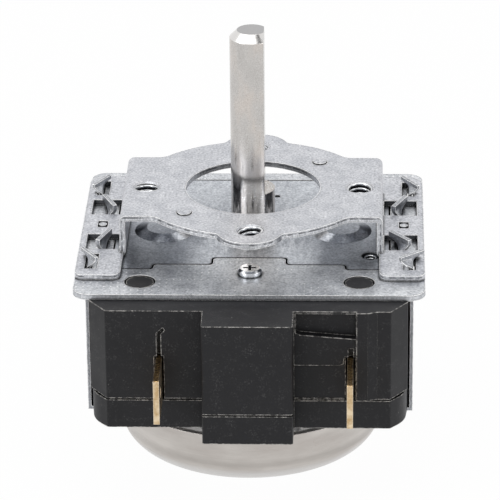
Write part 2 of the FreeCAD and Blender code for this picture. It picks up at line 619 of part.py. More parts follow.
# Top plate: it lies on the housing and has a stepped window for the movement plate.
def top_plate():
    body = new_body("top_plate")
    pad(body, "top_sheet", "XY", [rectangle("-plateHalf", "plateHalf", "-plateFront", "plateRear")],
        PLATE_BOTTOM, PLATE_TOP)
    half, front, rear = size("plateHalf"), -size("plateFront"), size("plateRear")
    round_edges(body, "top_corners",
                upright_at([(half, front), (-half, front), (half, rear), (-half, rear)]), "plateCorner")
    pocket(body, "top_window", "XY", [stepped_outline("plateGap")], PLATE_BOTTOM, PLATE_TOP)
    round_steps(body, "top_step_rounds", size("plateGap"))
    holes = [circle("0", "-screwY", "screwBore + 0.1")]
    for side in (1, -1):
        holes.append(circle(mirrored(side, "pegX"), "-pegY", "peg + pegGap"))
        for y in ("rearWindowY", "-frontWindowY"):
            holes.append(centred(side, "caseLegX", y, "lowerThick + 2 * lugGap",
                                 "caseLegWide + 2 * lugGap"))
        for y in ("rearLugY", "-frontLugY"):
            holes.append(centred(side, FRAME_MIDDLE, y, "frameThick + 2 * lugGap",
                                 "frameLugWide + 2 * lugGap"))
    pocket(body, "top_holes", "XY", holes, PLATE_BOTTOM, PLATE_TOP)
    pips = [circle(mirrored(side, "keyX"), "-keyY", "keyPip") for side in (1, -1)]
    pad(body, "top_pips", "XY", pips, PLATE_TOP, FOOT_TOP)


# Movement plate: it carries the spindle and the upper pivots, with two raised bosses.
def movement_plate():
    body = new_body("movement_plate")
    pad(body, "movement_sheet", "XY", [stepped_outline("0")], PLATE_BOTTOM, PLATE_TOP)
    round_steps(body, "movement_step_rounds", 0)
    for side, label in ((1, "right"), (-1, "left")):
        low = new_sketch(body, f"boss_low_{label}", "XY", PLATE_TOP,
                         [circle(mirrored(side, "bossX"), "-bossY", "bossFoot")])
        high = new_sketch(body, f"boss_high_{label}", "XY", PLATE_TOP + " + bossRise",
                          [circle(mirrored(side, "bossX"), "-bossY", "bossTop")])
        boss = body.newObject("PartDesign::AdditiveLoft", f"boss_{label}")
        boss.Profile = low
        boss.Sections = [high]
        boss.Ruled = True
    holes = [circle("0", "0", "spindleRadius + runningGap"),
             circle("springHoleX", "-springHoleY", "springHole")]
    holes += [circle(x, y, "pivotRadius + runningGap") for x, y in arbor_places()]
    pocket(body, "movement_holes", "XY", holes, PLATE_BOTTOM, PLATE_TOP)


def polar(start, distance, angle):
    x, y = start
    return (f"{x} + ({distance}) * cos({angle} * 1deg)", f"{y} + ({distance}) * sin({angle} * 1deg)")


def mesh_distance(module, wheel_teeth):
    return f"{module} * ({wheel_teeth} + pinionTeeth) / 2 + meshSlack"


def arbor_places():
    """Where the second, third, escape and balance arbors stand."""
    second = polar(("0", "0"), mesh_distance("mainModule", "mainTeeth"), "secondAngle")
    third = polar(second, mesh_distance("secondModule", "secondTeeth"), "thirdAngle")
    escape = polar(third, mesh_distance("thirdModule", "thirdTeeth"), "escapeAngle")
    balance = polar(escape, "balanceDistance", "balanceAngle")
    return second, third, escape, balance


# Lower movement plate with four legs that come up through the top plate and are twisted there.
def movement_frame():
    body = new_body("movement_frame")
    pad(body, "lower_sheet", "XY", [rectangle("-lowerHalf", "lowerHalf", "-lowerFront", "movementRear")],
        LOWER_BOTTOM, LOWER_TOP)
    half, rear = size("lowerHalf"), size("movementRear")
    round_edges(body, "lower_corners", upright_at([(half, rear), (-half, rear)]), "lowerCorner")
    turns = {(1, 1): -24, (1, -1): 39, (-1, 1): 24, (-1, -1): -20}
    outer = "caseLegX + lowerThick / 2"
    for side, where in turns:
        label = ("right" if side > 0 else "left") + ("_rear" if where > 0 else "_front")
        y = "rearWindowY" if where > 0 else "-frontWindowY"
        pad(body, f"case_tab_{label}", "XY",
            [rectangle(*span(side, "lowerHalf - 1", outer), f"{y} - caseLegWide / 2",
                       f"{y} + caseLegWide / 2")], LOWER_BOTTOM, LOWER_TOP)
        pad(body, f"case_leg_{label}", "XY",
            [centred(side, "caseLegX", y, "lowerThick", "caseLegWide")], LOWER_TOP, PLATE_TOP)
        twisted_lug(body, f"case_lug_{label}", mirrored(side, "caseLegX"), y, "caseLegWide",
                    "lowerThick", PLATE_TOP, "-lugTop", turns[side, where])
    holes = [circle("0", "0", "arborRadius + runningGap")]
    holes += [circle(x, y, "pivotRadius + runningGap") for x, y in arbor_places()]
    pocket(body, "lower_holes", "XY", holes, LOWER_BOTTOM, LOWER_TOP)


# Frame: one strip folded up round the housing, held by four twisted lugs on the feet.
def side_frame():
    body = new_body("side_frame")
    pad(body, "frame_strip", "XZ", [polygon(
        (negative(FRAME_OUTER), PLATE_BOTTOM), (negative(FRAME_OUTER), FRAME_BOTTOM),
        (FRAME_OUTER, FRAME_BOTTOM), (FRAME_OUTER, PLATE_BOTTOM), (FRAME_INNER, PLATE_BOTTOM),
        (FRAME_INNER, COVER_BOTTOM), (negative(FRAME_INNER), COVER_BOTTOM),
        (negative(FRAME_INNER), PLATE_BOTTOM))], "-frameFront", "frameRear")
    turns = {(1, 1): 33, (1, -1): -50, (-1, 1): -30, (-1, -1): 32}
    for side, where in turns:
        label = ("right" if side > 0 else "left") + ("_rear" if where > 0 else "_front")
        y = "rearLugY" if where > 0 else "-frontLugY"
        pad(body, f"frame_tab_{label}", "XY",
            [centred(side, FRAME_MIDDLE, y, "frameThick", "frameLugWide")], PLATE_BOTTOM, FOOT_TOP)
        twisted_lug(body, f"frame_lug_{label}", mirrored(side, FRAME_MIDDLE), y, "frameLugWide",
                    "frameThick", FOOT_TOP, "-lugTop + 0.2", turns[side, where])


def housing_plan(inset="0"):
    """The housing's plan: a rectangle with chamfered corners."""
    half, front, rear = f"housingHalf - {inset}", f"-housingFront + {inset}", f"housingRear - {inset}"
    return polygon(
        (f"{half} - chamferX", front), (half, f"{front} + chamferY"), (half, f"{rear} - rearChamfer"),
        (f"{half} - rearChamfer", rear), (f"-({half}) + rearChamfer", rear),
        (negative(half), f"{rear} - rearChamfer"), (negative(half), f"{front} + chamferY"),
        (f"-({half}) + chamferX", front))


def cover_plan(inset="0"):
    """The cover's plan: like the housing's, but its front corners are fuller."""
    half, front, rear = f"housingHalf - {inset}", f"-housingFront + {inset}", f"housingRear - {inset}"
    right = [(f"{half} - chamferX", front), (f"{half} - coverCornerX", f"{front} + coverCornerY"),
             (half, f"{front} + coverCornerLong"), (half, f"{rear} - rearChamfer"),
             (f"{half} - rearChamfer", rear)]
    return polygon(*right, *[(negative(x), y) for x, y in reversed(right)])


def block_plan(inset="0"):
    return rectangle(f"-blockHalf + {inset}", f"blockHalf - {inset}", f"-blockFront + {inset}",
                     "-housingFront + wall / 2")


def round_mould(body, name, corners):
    """Round the upright edges of the moulding's outer corners."""
    half, rear, rc = size("housingHalf"), size("housingRear"), size("rearChamfer")
    right = corners + [(half, rear - rc), (half - rc, rear), (size("blockHalf"), -size("blockFront"))]
    places = right + [(-x, y) for x, y in right]
    round_edges(body, name, upright_at(places), "mouldRound")


# Upper housing: a moulded shell, open below, with a deck at the front and the block in the middle.
def housing_body():
    body = new_body("housing_body")
    pad(body, "housing_outer", "XY", [housing_plan()], SEAM, DECK)
    pad(body, "housing_block", "XY", [block_plan()], SEAM, DECK)
    pad(body, "housing_rib", "XY", [polygon(
        ("ribInner", "-housingFront + 0.5"), ("ribInner", "-housingFront - ribOut"),
        ("ribOuter", "-housingFront - ribOut"), ("ribFoot", "-housingFront"),
        ("ribFoot", "-housingFront + 0.5"))], SEAM, DECK)
    half, front = size("housingHalf"), -size("housingFront")
    round_mould(body, "housing_rounds", [(half - size("chamferX"), front), (half, front + size("chamferY"))])
    pocket(body, "housing_cavity", "XY", [housing_plan("wall")], SEAM, f"{DECK} - wall")
    pocket(body, "housing_block_cavity", "XY",
           [rectangle("-blockHalf + wall", "blockHalf - wall", "-blockFront + wall",
                      "-housingFront + wall + 1")],
           SEAM, f"{DECK} - wall")
    pocket(body, "housing_mouth", "XY",
           [rectangle("-housingHalf + wall", "housingHalf - wall", "-deckRear", "housingRear - wall")],
           f"{DECK} - wall", DECK)
    leg_slots = []
    for side in (1, -1):
        for y in ("rearWindowY", "-frontWindowY"):
            leg_slots.append(rectangle(
                *span(side, "housingHalf - wall - 0.5", "housingHalf + 0.5"),
                f"{y} - caseLegWide / 2 - lugGap", f"{y} + caseLegWide / 2 + lugGap"))
    pocket(body, "housing_leg_slots", "XY", leg_slots, f"{LOWER_BOTTOM} - lugGap", DECK)
    terminal_slots = [terminal_slot(side, x) for side, x in ((-1, "leftBladeX"), (1, "rightBladeX"))]
    pocket(body, "housing_terminal_slots", "XY", terminal_slots, SEAM, f"{BLADE_TOP} + 0.1")
    front = "-housingFront"
    pocket(body, "housing_pocket", "XZ", [polygon(
        ("pocketInner", f"{DECK} - pocketTop"), ("pocketInner", f"{DECK} - pocketBottom + pocketSlope * 2"),
        ("pocketInner + pocketSlope * 2", f"{DECK} - pocketBottom + pocketSlope"),
        ("pocketOuter", f"{DECK} - pocketBottom - pocketSlope"), ("pocketOuter", f"{DECK} - pocketTop"))],
        front, "-housingFront + pocketDeep")
    pocket(body, "housing_panel", "XZ", [polygon(
        ("panelInner", SEAM), ("panelOuter", SEAM), ("panelOuter", f"{BLADE_TOP} + 0.1"),
        ("panelOuter - panelRise * 0.2", f"{BLADE_TOP} + 0.1"),
        ("panelOuter - panelRise * 0.4", f"{DECK} - panelTop + panelRise * 0.3"),
        ("panelOuter - panelRise", f"{DECK} - panelTop"), ("panelInner", f"{DECK} - panelTop"))],
        front, "-housingFront + panelDeep")
    groove_top = f"{DECK} - grooveTop"
    pocket(body, "housing_groove", "XZ", [polygon(
        ("-leftBladeX - grooveHalf", BLADE_TOP), ("-leftBladeX + grooveHalf", BLADE_TOP),
        ("-leftBladeX + grooveHalf", f"{groove_top} - grooveHook"),
        ("-leftBladeX + grooveHalf * 3", f"{groove_top} - grooveHook / 3"),
        ("-leftBladeX + grooveHalf * 2", groove_top),
        ("-leftBladeX - grooveHalf", f"{groove_top} - grooveHook * 0.8"))],
        front, "-housingFront + grooveDeep")
    pocket(body, "housing_short_groove", "XZ",
           [rectangle("rightBladeX - grooveHalf", "rightBladeX + grooveHalf * 1.5",
                      BLADE_TOP, f"{BLADE_TOP} + shortGroove")],
           front, "-housingFront + grooveDeep / 2")
    pad(body, "housing_screw_rib", "XY",
        [rectangle("-wall / 2", "wall / 2", "-blockFront + wall / 2", "-screwY")],
        f"{DECK} - screwLong - 1", DECK)
    pad(body, "housing_screw_boss", "XY", [circle("0", "-screwY", "screwBoss")],
        f"{DECK} - screwLong - 1", DECK)
    pocket(body, "housing_screw_bore", "XY", [circle("0", "-screwY", "screwBore")],
           f"{DECK} - screwLong - 0.3", DECK)
    pegs = [circle(mirrored(side, "pegX"), "-pegY", "peg") for side in (1, -1)]
    pad(body, "housing_pegs", "XY", pegs, f"{DECK} - wall / 2", f"{PLATE_TOP} - 0.1")


def terminal_slot(side, x):
    half = "bladeThick / 2 + slotGap"
    return rectangle(*span(side, f"{x} - ({half})", f"{x} + {half}"),
                     "-housingFront - ribOut - 1", "-housingFront + wall + 1")


# Lower cover: it closes the housing and carries the spindle's lower bearing.
def housing_cover():
    body = new_body("housing_cover")
    seam_low = f"{SEAM} - seamTall"
    pad(body, "cover_outer", "XY", [cover_plan()], COVER_BOTTOM, seam_low)
    pad(body, "cover_block", "XY", [block_plan()], COVER_BOTTOM, seam_low)
    half, front = size("housingHalf"), -size("housingFront")
    round_mould(body, "cover_rounds", [(half - size("chamferX"), front)])
    bend_x, bend_y = half - size("coverCornerX"), front + size("coverCornerY")
    round_edges(body, "cover_corners", upright_at([(bend_x, bend_y), (-bend_x, bend_y)]), "coverRound")
    pad(body, "cover_lip", "XY", [housing_plan("seamDeep")], seam_low, SEAM)
    pad(body, "cover_block_lip", "XY", [block_plan("seamDeep")], seam_low, SEAM)
    pocket(body, "cover_cavity", "XY", [housing_plan("wall")], f"{COVER_BOTTOM} + floorThick", SEAM)
    pocket(body, "cover_block_cavity", "XY",
           [rectangle("-blockHalf + wall", "blockHalf - wall", "-blockFront + wall",
                      "-housingFront + wall + 1")],
           f"{COVER_BOTTOM} + floorThick", SEAM)
    slots = [terminal_slot(side, x) for side, x in ((-1, "leftBladeX"), (1, "rightBladeX"))]
    pocket(body, "cover_terminal_slots", "XY", slots, f"{BLADE_BOTTOM}", SEAM)
    pad(body, "cover_bearing", "XY", [circle("0", "0", "journalRadius + wall")],
        f"{COVER_BOTTOM} + floorThick", f"{COVER_BOTTOM} + floorThick + wall")
    pocket(body, "cover_bearing_bore", "XY", [circle("0", "0", "journalRadius + runningGap")],
           f"{COVER_BOTTOM} + floorThick", f"{COVER_BOTTOM} + floorThick + wall")


# Terminals: a blade outside the front wall and a lower arm to the contacts inside.
def terminal(name, side, x, tip, end):
    body = new_body(name)
    middle = mirrored(side, x)
    low, high = f"{middle} - bladeThick / 2", f"{middle} + bladeThick / 2"
    root = "-housingFront + wall + 2"
    pad(body, name + "_blade", "YZ", [polygon(
        (f"-{tip} + bladeChamfer", BLADE_TOP), (f"-{tip}", f"{BLADE_TOP} - bladeChamfer / 2"),
        (f"-{tip}", f"{BLADE_BOTTOM} + bladeChamfer / 2"), (f"-{tip} + bladeChamfer", BLADE_BOTTOM),
        ("-housingFront + wall + 0.2", BLADE_BOTTOM), ("-housingFront + wall + 0.2", "-contactLow"),
        (end, "-contactLow"), (end, "-contactHigh"), (root, "-contactHigh"), (root, BLADE_TOP))],
        low, high)
    pocket(body, name + "_hole", "YZ",
           [circle(f"-{tip} + 3.2", f"{BLADE_TOP} - bladeTall / 2", "bladeHole")], low, high)


def contacts():
    strip_y = "-leafY - contactTall * 2 - contactGap"
    body = new_body("fixed_contact")
    pad(body, "fixed_strip", "XY", [rectangle(
        "-leftBladeX + bladeThick / 2", "-contactX + contactRadius * 1.5",
        f"{strip_y} - stripThick", strip_y)],
        "-contactLow", "-contactHigh")
    keep("fixed_contact_rivet", rivet("fixed_contact_rivet", strip_y, f"{strip_y} + contactTall"))
    body = new_body("contact_leaf")
    leaf_end = "rightBladeX - bladeThick / 2 - runningGap"
    pad(body, "leaf_strip", "XY",
        [rectangle("-contactX - contactRadius - 0.5", leaf_end, "-leafY", "-leafY + leafThick")],
        "-contactLow", "-contactHigh")
    nose = "-camRadius - 0.1"
    pad(body, "leaf_nose", "XY", [polygon(
        ("-0.9", "-leafY + leafThick"), ("0.9", "-leafY + leafThick"), ("0.35", nose), ("-0.35", nose))],
        "-contactLow + 0.4", "-contactHigh - 0.4")
    keep("moving_contact_rivet", rivet("moving_contact_rivet", "-leafY - contactTall", "-leafY"))


def rivet(name, low, high):
    """A contact rivet with its axis along Y."""
    item = doc.addObject("Part::Cylinder", name)
    item.Placement.Rotation = FreeCAD.Rotation(FreeCAD.Vector(1, 0, 0), -90)
    bind(item, "Radius", "contactRadius")
    bind(item, "Height", f"({high}) - ({low})")
    bind(item, "Placement.Base.x", "-contactX")
    bind(item, "Placement.Base.y", low)
    bind(item, "Placement.Base.z", "-(contactLow + contactHigh) / 2")
    return item


# Spindle: turned in steps, with a flat milled on the part above the bracket.
def spindle():
    body = new_body("spindle")
    shoulder = f"{PLATE_BOTTOM} - 0.2"
    cam_bottom = f"{LOWER_BOTTOM} - camDrop - camThick"
    revolve(body, "spindle_turned", polygon(
        ("0", "spindleTop"), ("spindleRadius - spindleChamfer", "spindleTop"),
        ("spindleRadius", "spindleTop - spindleChamfer"), ("spindleRadius", shoulder),
        ("arborRadius", shoulder), ("arborRadius", cam_bottom), ("journalRadius", cam_bottom),
        ("journalRadius", f"{COVER_BOTTOM} + floorThick + endShake"),
        ("0", f"{COVER_BOTTOM} + floorThick + endShake")))
    pocket(body, "spindle_flat", "XY",
           [rectangle("flatX", "spindleRadius + 1", "-spindleRadius - 1", "spindleRadius + 1")],
           "0", "spindleTop + 1")


def switch_cam():
    body = new_body("switch_cam")
    top = f"{LOWER_BOTTOM} - camDrop"
    bottom = f"{top} - camThick"
    pad(body, "cam_disc", "XY", [circle("0", "0", "camRadius")], bottom, top)
    pocket(body, "cam_notch", "XY", [polygon(
        ("-camNotch", "-camRadius - 1"), ("camNotch", "-camRadius - 1"),
        ("camNotch / 2", "-camRadius + camNotch"), ("-camNotch / 2", "-camRadius + camNotch"))],
        bottom, top)
    pocket(body, "cam_bore", "XY", [circle("0", "0", "arborRadius")], bottom, top)


# Gears: a disc at the root circle, one tooth, and a polar pattern of it.
def gear(name, place, module, teeth, low, high, phase, bore, tip=0.8):
    """The teeth reach out and in from the pitch circle by a share of the module."""
    root = tip + 0.3
    body = new_body(name)
    pitch = f"{module} * {teeth} / 2"
    pad(body, name + "_disc", "XY", [circle("0", "0", f"{pitch} - {root} * {module}")], low, high)
    base, top = f"{pitch} - {root + 0.15} * {module}", f"{pitch} + {tip} * {module}"
    foot, waist, crown = (f"{share} * {module}" for share in (0.80, 0.60, 0.26))
    tooth = pad(body, name + "_tooth", "XY", [polygon(
        (base, negative(foot)), (pitch, negative(waist)), (top, negative(crown)),
        (top, crown), (pitch, waist), (base, foot))], low, high)
    ring = body.newObject("PartDesign::PolarPattern", name + "_teeth")
    ring.Originals = [tooth]
    ring.Axis = (tooth.Profile[0], ["N_Axis"])
    ring.Angle = 360
    bind(ring, "Occurrences", teeth)
    body.Tip = ring
    if bore:
        pocket(body, name + "_bore", "XY", [circle("0", "0", bore)], low, high)
    bind(body, "Placement.Base.x", place[0])
    bind(body, "Placement.Base.y", place[1])
    bind(body, "Placement.Rotation.Angle", phase)
    return body


def arbor(name, place, pinion_low, pinion_high, module, phase):
    """A steel arbor with its pivots and the leaves of its pinion."""
    leaves = gear(name, place, module, "pinionTeeth", pinion_low, pinion_high, phase, None, 0.75)
    stem_top, stem_bottom = f"{PLATE_BOTTOM} - endShake", f"{LOWER_TOP} + endShake"
    if pinion_high != stem_top:
        pad(leaves, name + "_stem", "XY", [circle("0", "0", "stemRadius")], stem_bottom, stem_top)
    pad(leaves, name + "_pivots", "XY", [circle("0", "0", "pivotRadius")],
        f"{LOWER_BOTTOM} + endShake", f"{PLATE_TOP} - endShake")
    return leaves


def wheel_train():
    second, third, escape, balance = arbor_places()
    half_tooth = "180 / pinionTeeth"

    def level(depth):
        return f"{PLATE_BOTTOM} - {depth}"

    def wheel_span(depth):
        return f"{level(depth)} - wheelThick", level(depth)

    def pinion_span(depth):
        middle = f"{level(depth)} - wheelThick / 2"
        return f"{middle} - pinionTall / 2", f"{middle} + pinionTall / 2"

    low, high = wheel_span("mainLevel")
    gear("main_wheel", ("0", "0"), "mainModule", "mainTeeth", low, high, "secondAngle", "arborRadius")
    low, high = pinion_span("mainLevel")
    arbor("second_pinion", second, low, high, "mainModule", f"secondAngle + 180 + {half_tooth}")
    low, high = wheel_span("secondLevel")
    gear("second_wheel", second, "secondModule", "secondTeeth", low, high, "thirdAngle", "stemRadius")
    low, high = pinion_span("secondLevel")
    arbor("third_pinion", third, low, high, "secondModule", f"thirdAngle + 180 + {half_tooth}")
    low, high = wheel_span("thirdLevel")
    gear("third_wheel", third, "thirdModule", "thirdTeeth", low, high, "escapeAngle", "stemRadius")
    low, high = pinion_span("thirdLevel")
    arbor("escape_pinion", escape, low, high, "thirdModule", f"escapeAngle + 180 + {half_tooth}")
    escape_wheel(escape, *wheel_span("escapeLevel"))
    balance_staff(balance, *wheel_span("escapeLevel"))
    balance_bar(balance, *wheel_span("balanceLevel"))


def escape_wheel(place, low, high):
    body = new_body("escape_wheel")
    pad(body, "escape_rim", "XY", [circle("0", "0", "escapeRadius * 0.72")], low, high)
    tooth = pad(body, "escape_tooth", "XY", [polygon(
        ("escapeRadius * 0.68", "-escapeRadius * 0.13"), ("escapeRadius * 0.98", "-escapeRadius * 0.02"),
        ("escapeRadius", "escapeRadius * 0.01"), ("escapeRadius * 0.68", "escapeRadius * 0.07"))], low, high)
    ring = body.newObject("PartDesign::PolarPattern", "escape_teeth")
    ring.Originals = [tooth]
    ring.Axis = (tooth.Profile[0], ["N_Axis"])
    ring.Angle = 360
    bind(ring, "Occurrences", "escapeTeeth")
    body.Tip = ring
    pocket(body, "escape_bore", "XY", [circle("0", "0", "stemRadius")], low, high)
    bind(body, "Placement.Base.x", place[0])
    bind(body, "Placement.Base.y", place[1])


# Balance: a staff with a forked pallet lever, and an inertia bar with weighted ends.
def balance_staff(place, low, high):
    body = new_body("balance_staff")
    stem_top, stem_bottom = f"{PLATE_BOTTOM} - endShake", f"{LOWER_TOP} + endShake"
    pad(body, "staff_stem", "XY", [circle("0", "0", "stemRadius")], stem_bottom, stem_top)
    pad(body, "staff_pivots", "XY", [circle("0", "0", "pivotRadius")],
        f"{LOWER_BOTTOM} + endShake", f"{PLATE_TOP} - endShake")
    unit = "balanceDistance / 30"
    upper = [(4, 5), (-1, 13), (-9, 14.5), (-9, 12), (-4.5, 9.5)]
    outline = upper + [(x, -y) for x, y in reversed(upper)]
    corners = [(f"{x} * {unit}", f"{y} * {unit}") for x, y in outline]
    pad(body, "staff_lever", "XY", [polygon(*corners)], low, high)
    bind(body, "Placement.Base.x", place[0])
    bind(body, "Placement.Base.y", place[1])
    bind(body, "Placement.Rotation.Angle", "balanceAngle")


def balance_bar(place, low, high):
    body = new_body("balance_bar")
    arm, half = "balanceReach * 0.8", "stemRadius * 1.1"
    pad(body, "bar_arm", "XY", [rectangle(negative(arm), arm, negative(half), half)], low, high)
    pad(body, "bar_weights", "XY",
        [circle(mirrored(side, arm), "0", "balanceReach * 0.2") for side in (1, -1)],
        f"{low} - wheelThick / 2", high)
    pad(body, "bar_hub", "XY", [circle("0", "0", "stemRadius * 2.2")], low, high)
    pocket(body, "bar_bore", "XY", [circle("0", "0", "stemRadius")], low, high)
    bind(body, "Placement.Base.x", place[0])
    bind(body, "Placement.Base.y", place[1])
    bind(body, "Placement.Rotation.Angle", "balanceAngle + 90")


# Mainspring: a spiral strip of half rings, each centred half a pitch from the last.
def mainspring():
    half_turns = 2 * int(sheet.get("springCoils"))
    pitch, thick = sheet.get("springPitch"), sheet.get("springThick")
    inner, tall = sheet.get("springInner"), sheet.get("springTall")

    def arc(radius, centre, upper):
        sign = 1 if upper else -1
        ends = FreeCAD.Vector(centre + radius * sign, 0, 0), FreeCAD.Vector(centre - radius * sign, 0, 0)
        return Part.Arc(ends[0], FreeCAD.Vector(centre, radius * sign, 0), ends[1]).toShape()

    inside, outside = [], []
    for turn in range(half_turns):
        radius = inner + turn * pitch / 2
        centre = pitch / 2 * (turn % 2)
        inside.append(arc(radius, centre, turn % 2 == 0))
        outside.append(arc(radius + thick, centre, turn % 2 == 0))
    start = Part.makeLine(inside[0].Vertexes[0].Point, outside[0].Vertexes[0].Point)
    end = Part.makeLine(inside[-1].Vertexes[-1].Point, outside[-1].Vertexes[-1].Point)
    wire = Part.Wire(Part.__sortEdges__(inside + outside + [start, end]))
    item = doc.addObject("Part::Feature", "mainspring")
    item.Shape = Part.Face(wire).extrude(FreeCAD.Vector(0, 0, -tall))
    bind(item, "Placement.Base.z", f"{PLATE_BOTTOM} - springLevel")
    keep("mainspring", item)


def posts():
    end = "springInner + springPitch * springCoils + springThick + springPost"
    low, high = LOWER_TOP, f"{PLATE_BOTTOM} - springLevel"
    keep("spring_post", cylinder("spring_post", end, "0", low, high, "springPost"))
    places = [(mirrored(side, "pillarFrontX"), "-pillarFrontY") for side in (1, -1)]
    places += [(mirrored(side, "pillarRearX"), "pillarRearY") for side in (1, -1)]
    pillars = [cylinder(f"pillar_{k}", x, y, LOWER_TOP, PLATE_BOTTOM, "pillarRadius")
               for k, (x, y) in enumerate(places)]
    keep("plate_pillars", fuse("plate_pillars", pillars))


def plate_screw():
    body = new_body("plate_screw")
    revolve(body, "screw_turned", polygon(
        ("0", f"{PLATE_TOP} + screwHeadTall"), ("screwHead * 0.82", f"{PLATE_TOP} + screwHeadTall"),
        ("screwHead", f"{PLATE_TOP} + screwHeadTall * 0.7"), ("screwHead", PLATE_TOP),
        ("screwBore", PLATE_TOP),
        ("screwBore", f"{PLATE_BOTTOM} - screwLong + 0.8"), ("0", f"{PLATE_BOTTOM} - screwLong")))
    long, wide = "screwHead * 0.55", "screwHead * 0.13"
    corner = [(long, wide), (wide, wide), (wide, long)]
    cross = []
    for quarter in range(4):
        cross += corner
        corner = [(negative(y), x) for x, y in corner]
    pocket(body, "screw_recess", "XY", [polygon(*cross)],
           f"{PLATE_TOP} + screwHeadTall * 0.35", f"{PLATE_TOP} + screwHeadTall")
    bind(body, "Placement.Base.y", "-screwY")


# Bell: a spun cup with its mouth up, its base dimpled round the screw.
def bell():
    body = new_body("bell")
    base, top = "-bellBottom", "-bellTop"
    corner_x, corner_z = "bellBase - bellCorner * 0.768", f"{base} + bellCorner"
    inside = "(bellCorner - bellThick)"
    inner_corner = [(f"{corner_x} + {inside} * {out}", f"{corner_z} - {inside} * {down}")
                    for out, down in ((0.966, 0.258), (0.609, 0.793), (0, 1))]
    revolve(body, "bell_cup", polygon(
        ("bellScrew + 0.1", f"{base} + dimpleRise"), ("dimpleRadius", f"{base} + dimpleRise"),
        ("dimpleRadius + dimpleRise", base), ("bellBase", base), ("bellRim", top),
        ("bellRim - bellThick", top), *inner_corner,
        ("dimpleRadius + dimpleRise + bellThick * 0.4", f"{base} + bellThick"),
        ("dimpleRadius + bellThick * 0.4", f"{base} + dimpleRise + bellThick"),
        ("bellScrew + 0.1", f"{base} + dimpleRise + bellThick")))

    def rim_edge(radius, depth):
        def test(edge):
            box = edge.BoundBox
            return abs(box.ZMin + depth) < 0.02 and box.ZLength < 0.02 and abs(box.XMax - radius) < 0.02
        return test

    round_edges(body, "bell_corner", rim_edge(size("bellBase"), size("bellBottom")), "bellCorner")
    bind(body, "Placement.Base.x", "-bellShift")


def bell_mount():
    seat = "-bellBottom + dimpleRise"
    post = cylinder("post_rod", "-bellShift", "0", f"{seat} + bellThick", FRAME_BOTTOM, "bellPost")
    bore = cylinder("post_bore", "-bellShift", "0", f"{seat} + bellThick", f"{seat} + bellThick + postBore",
                    "bellScrew")
    keep("bell_post", cut("bell_post", post, bore))
    body = new_body("bell_screw")
    revolve(body, "bell_screw_turned", polygon(
        ("0", f"{seat} + bellThick + bellScrewLong"), ("bellScrew", f"{seat} + bellThick + bellScrewLong"),
        ("bellScrew", seat),
        ("bellHead", seat), ("bellHead", f"{seat} - bellHeadTall * 0.6"),
        ("bellHead * 0.7", f"{seat} - bellHeadTall"), ("0", f"{seat} - bellHeadTall")))
    bind(body, "Placement.Base.x", "-bellShift")


# Hammer: an arm on a stud under the frame, with its head hanging inside the bell.
def hammer():
    top = f"{FRAME_BOTTOM} - armDrop"
    bottom = f"{top} - armThick"
    stud_bottom = f"{bottom} - armThick / 3"
    stud = cylinder("hammer_stud_pin", "hammerX", "hammerY", stud_bottom, FRAME_BOTTOM, "studRadius")
    collar = cylinder("hammer_stud_collar", "hammerX", "hammerY", f"{top} + armDrop / 9", FRAME_BOTTOM,
                      "studRadius * 1.9")
    cap = cylinder("hammer_stud_cap", "hammerX", "hammerY", f"{stud_bottom} - armThick * 0.6", stud_bottom,
                   "studRadius * 1.6")
    keep("hammer_stud", fuse("hammer_stud", [stud, collar, cap]))
    body = new_body("hammer_arm")
    length = "sqrt((hammerX + headX) * (hammerX + headX) + (headY - hammerY) * (headY - hammerY))"
    pad(body, "arm_strip", "XY", [rectangle("0", length, "-armHalf", "armHalf")], bottom, top)
    pad(body, "arm_eye", "XY", [circle("0", "0", "studRadius * 2.2")], bottom, top)
    pocket(body, "arm_hole", "XY", [circle("0", "0", "studRadius + runningGap")], bottom, top)
    bind(body, "Placement.Base.x", "hammerX")
    bind(body, "Placement.Base.y", "hammerY")
    bind(body, "Placement.Rotation.Angle", "180 - atan((headY - hammerY) / (hammerX + headX)) / 1deg")
    keep("hammer_head",
         cylinder("hammer_head", "-headX", "headY", f"{bottom} - headTall", bottom, "headRadius"))


for build in (mounting_bracket, top_plate, movement_plate, movement_frame, side_frame, housing_body,
              housing_cover, contacts, spindle, switch_cam, wheel_train, mainspring, posts, plate_screw,
              bell, bell_mount, hammer):
    build()
terminal("terminal_left", -1, "leftBladeX", "leftBladeTip",
         "-leafY - contactTall * 2 - contactGap")
terminal("terminal_right", 1, "rightBladeX", "rightBladeTip", "-leafY + leafThick")
doc.recompute()

broken = [item.Name for item in doc.Objects if "Invalid" in item.State or "Error" in item.State]
if broken:
    raise RuntimeError(f"did not build: {broken}")
for item in doc.Objects:
    if item.TypeId == "PartDesign::Pocket" and item.Shape.Volume > item.BaseFeature.Shape.Volume - 1e-6:
        raise RuntimeError(f"{item.Name} cuts nothing")
for name, item in nodes.items():
    if item.Shape.isNull() or not item.Shape.isValid():
        raise RuntimeError(f"{name} is not a valid shape")
    item.Shape.exportStep(f"parts/{name}.step")
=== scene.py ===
import math

import bpy
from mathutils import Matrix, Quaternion, Vector


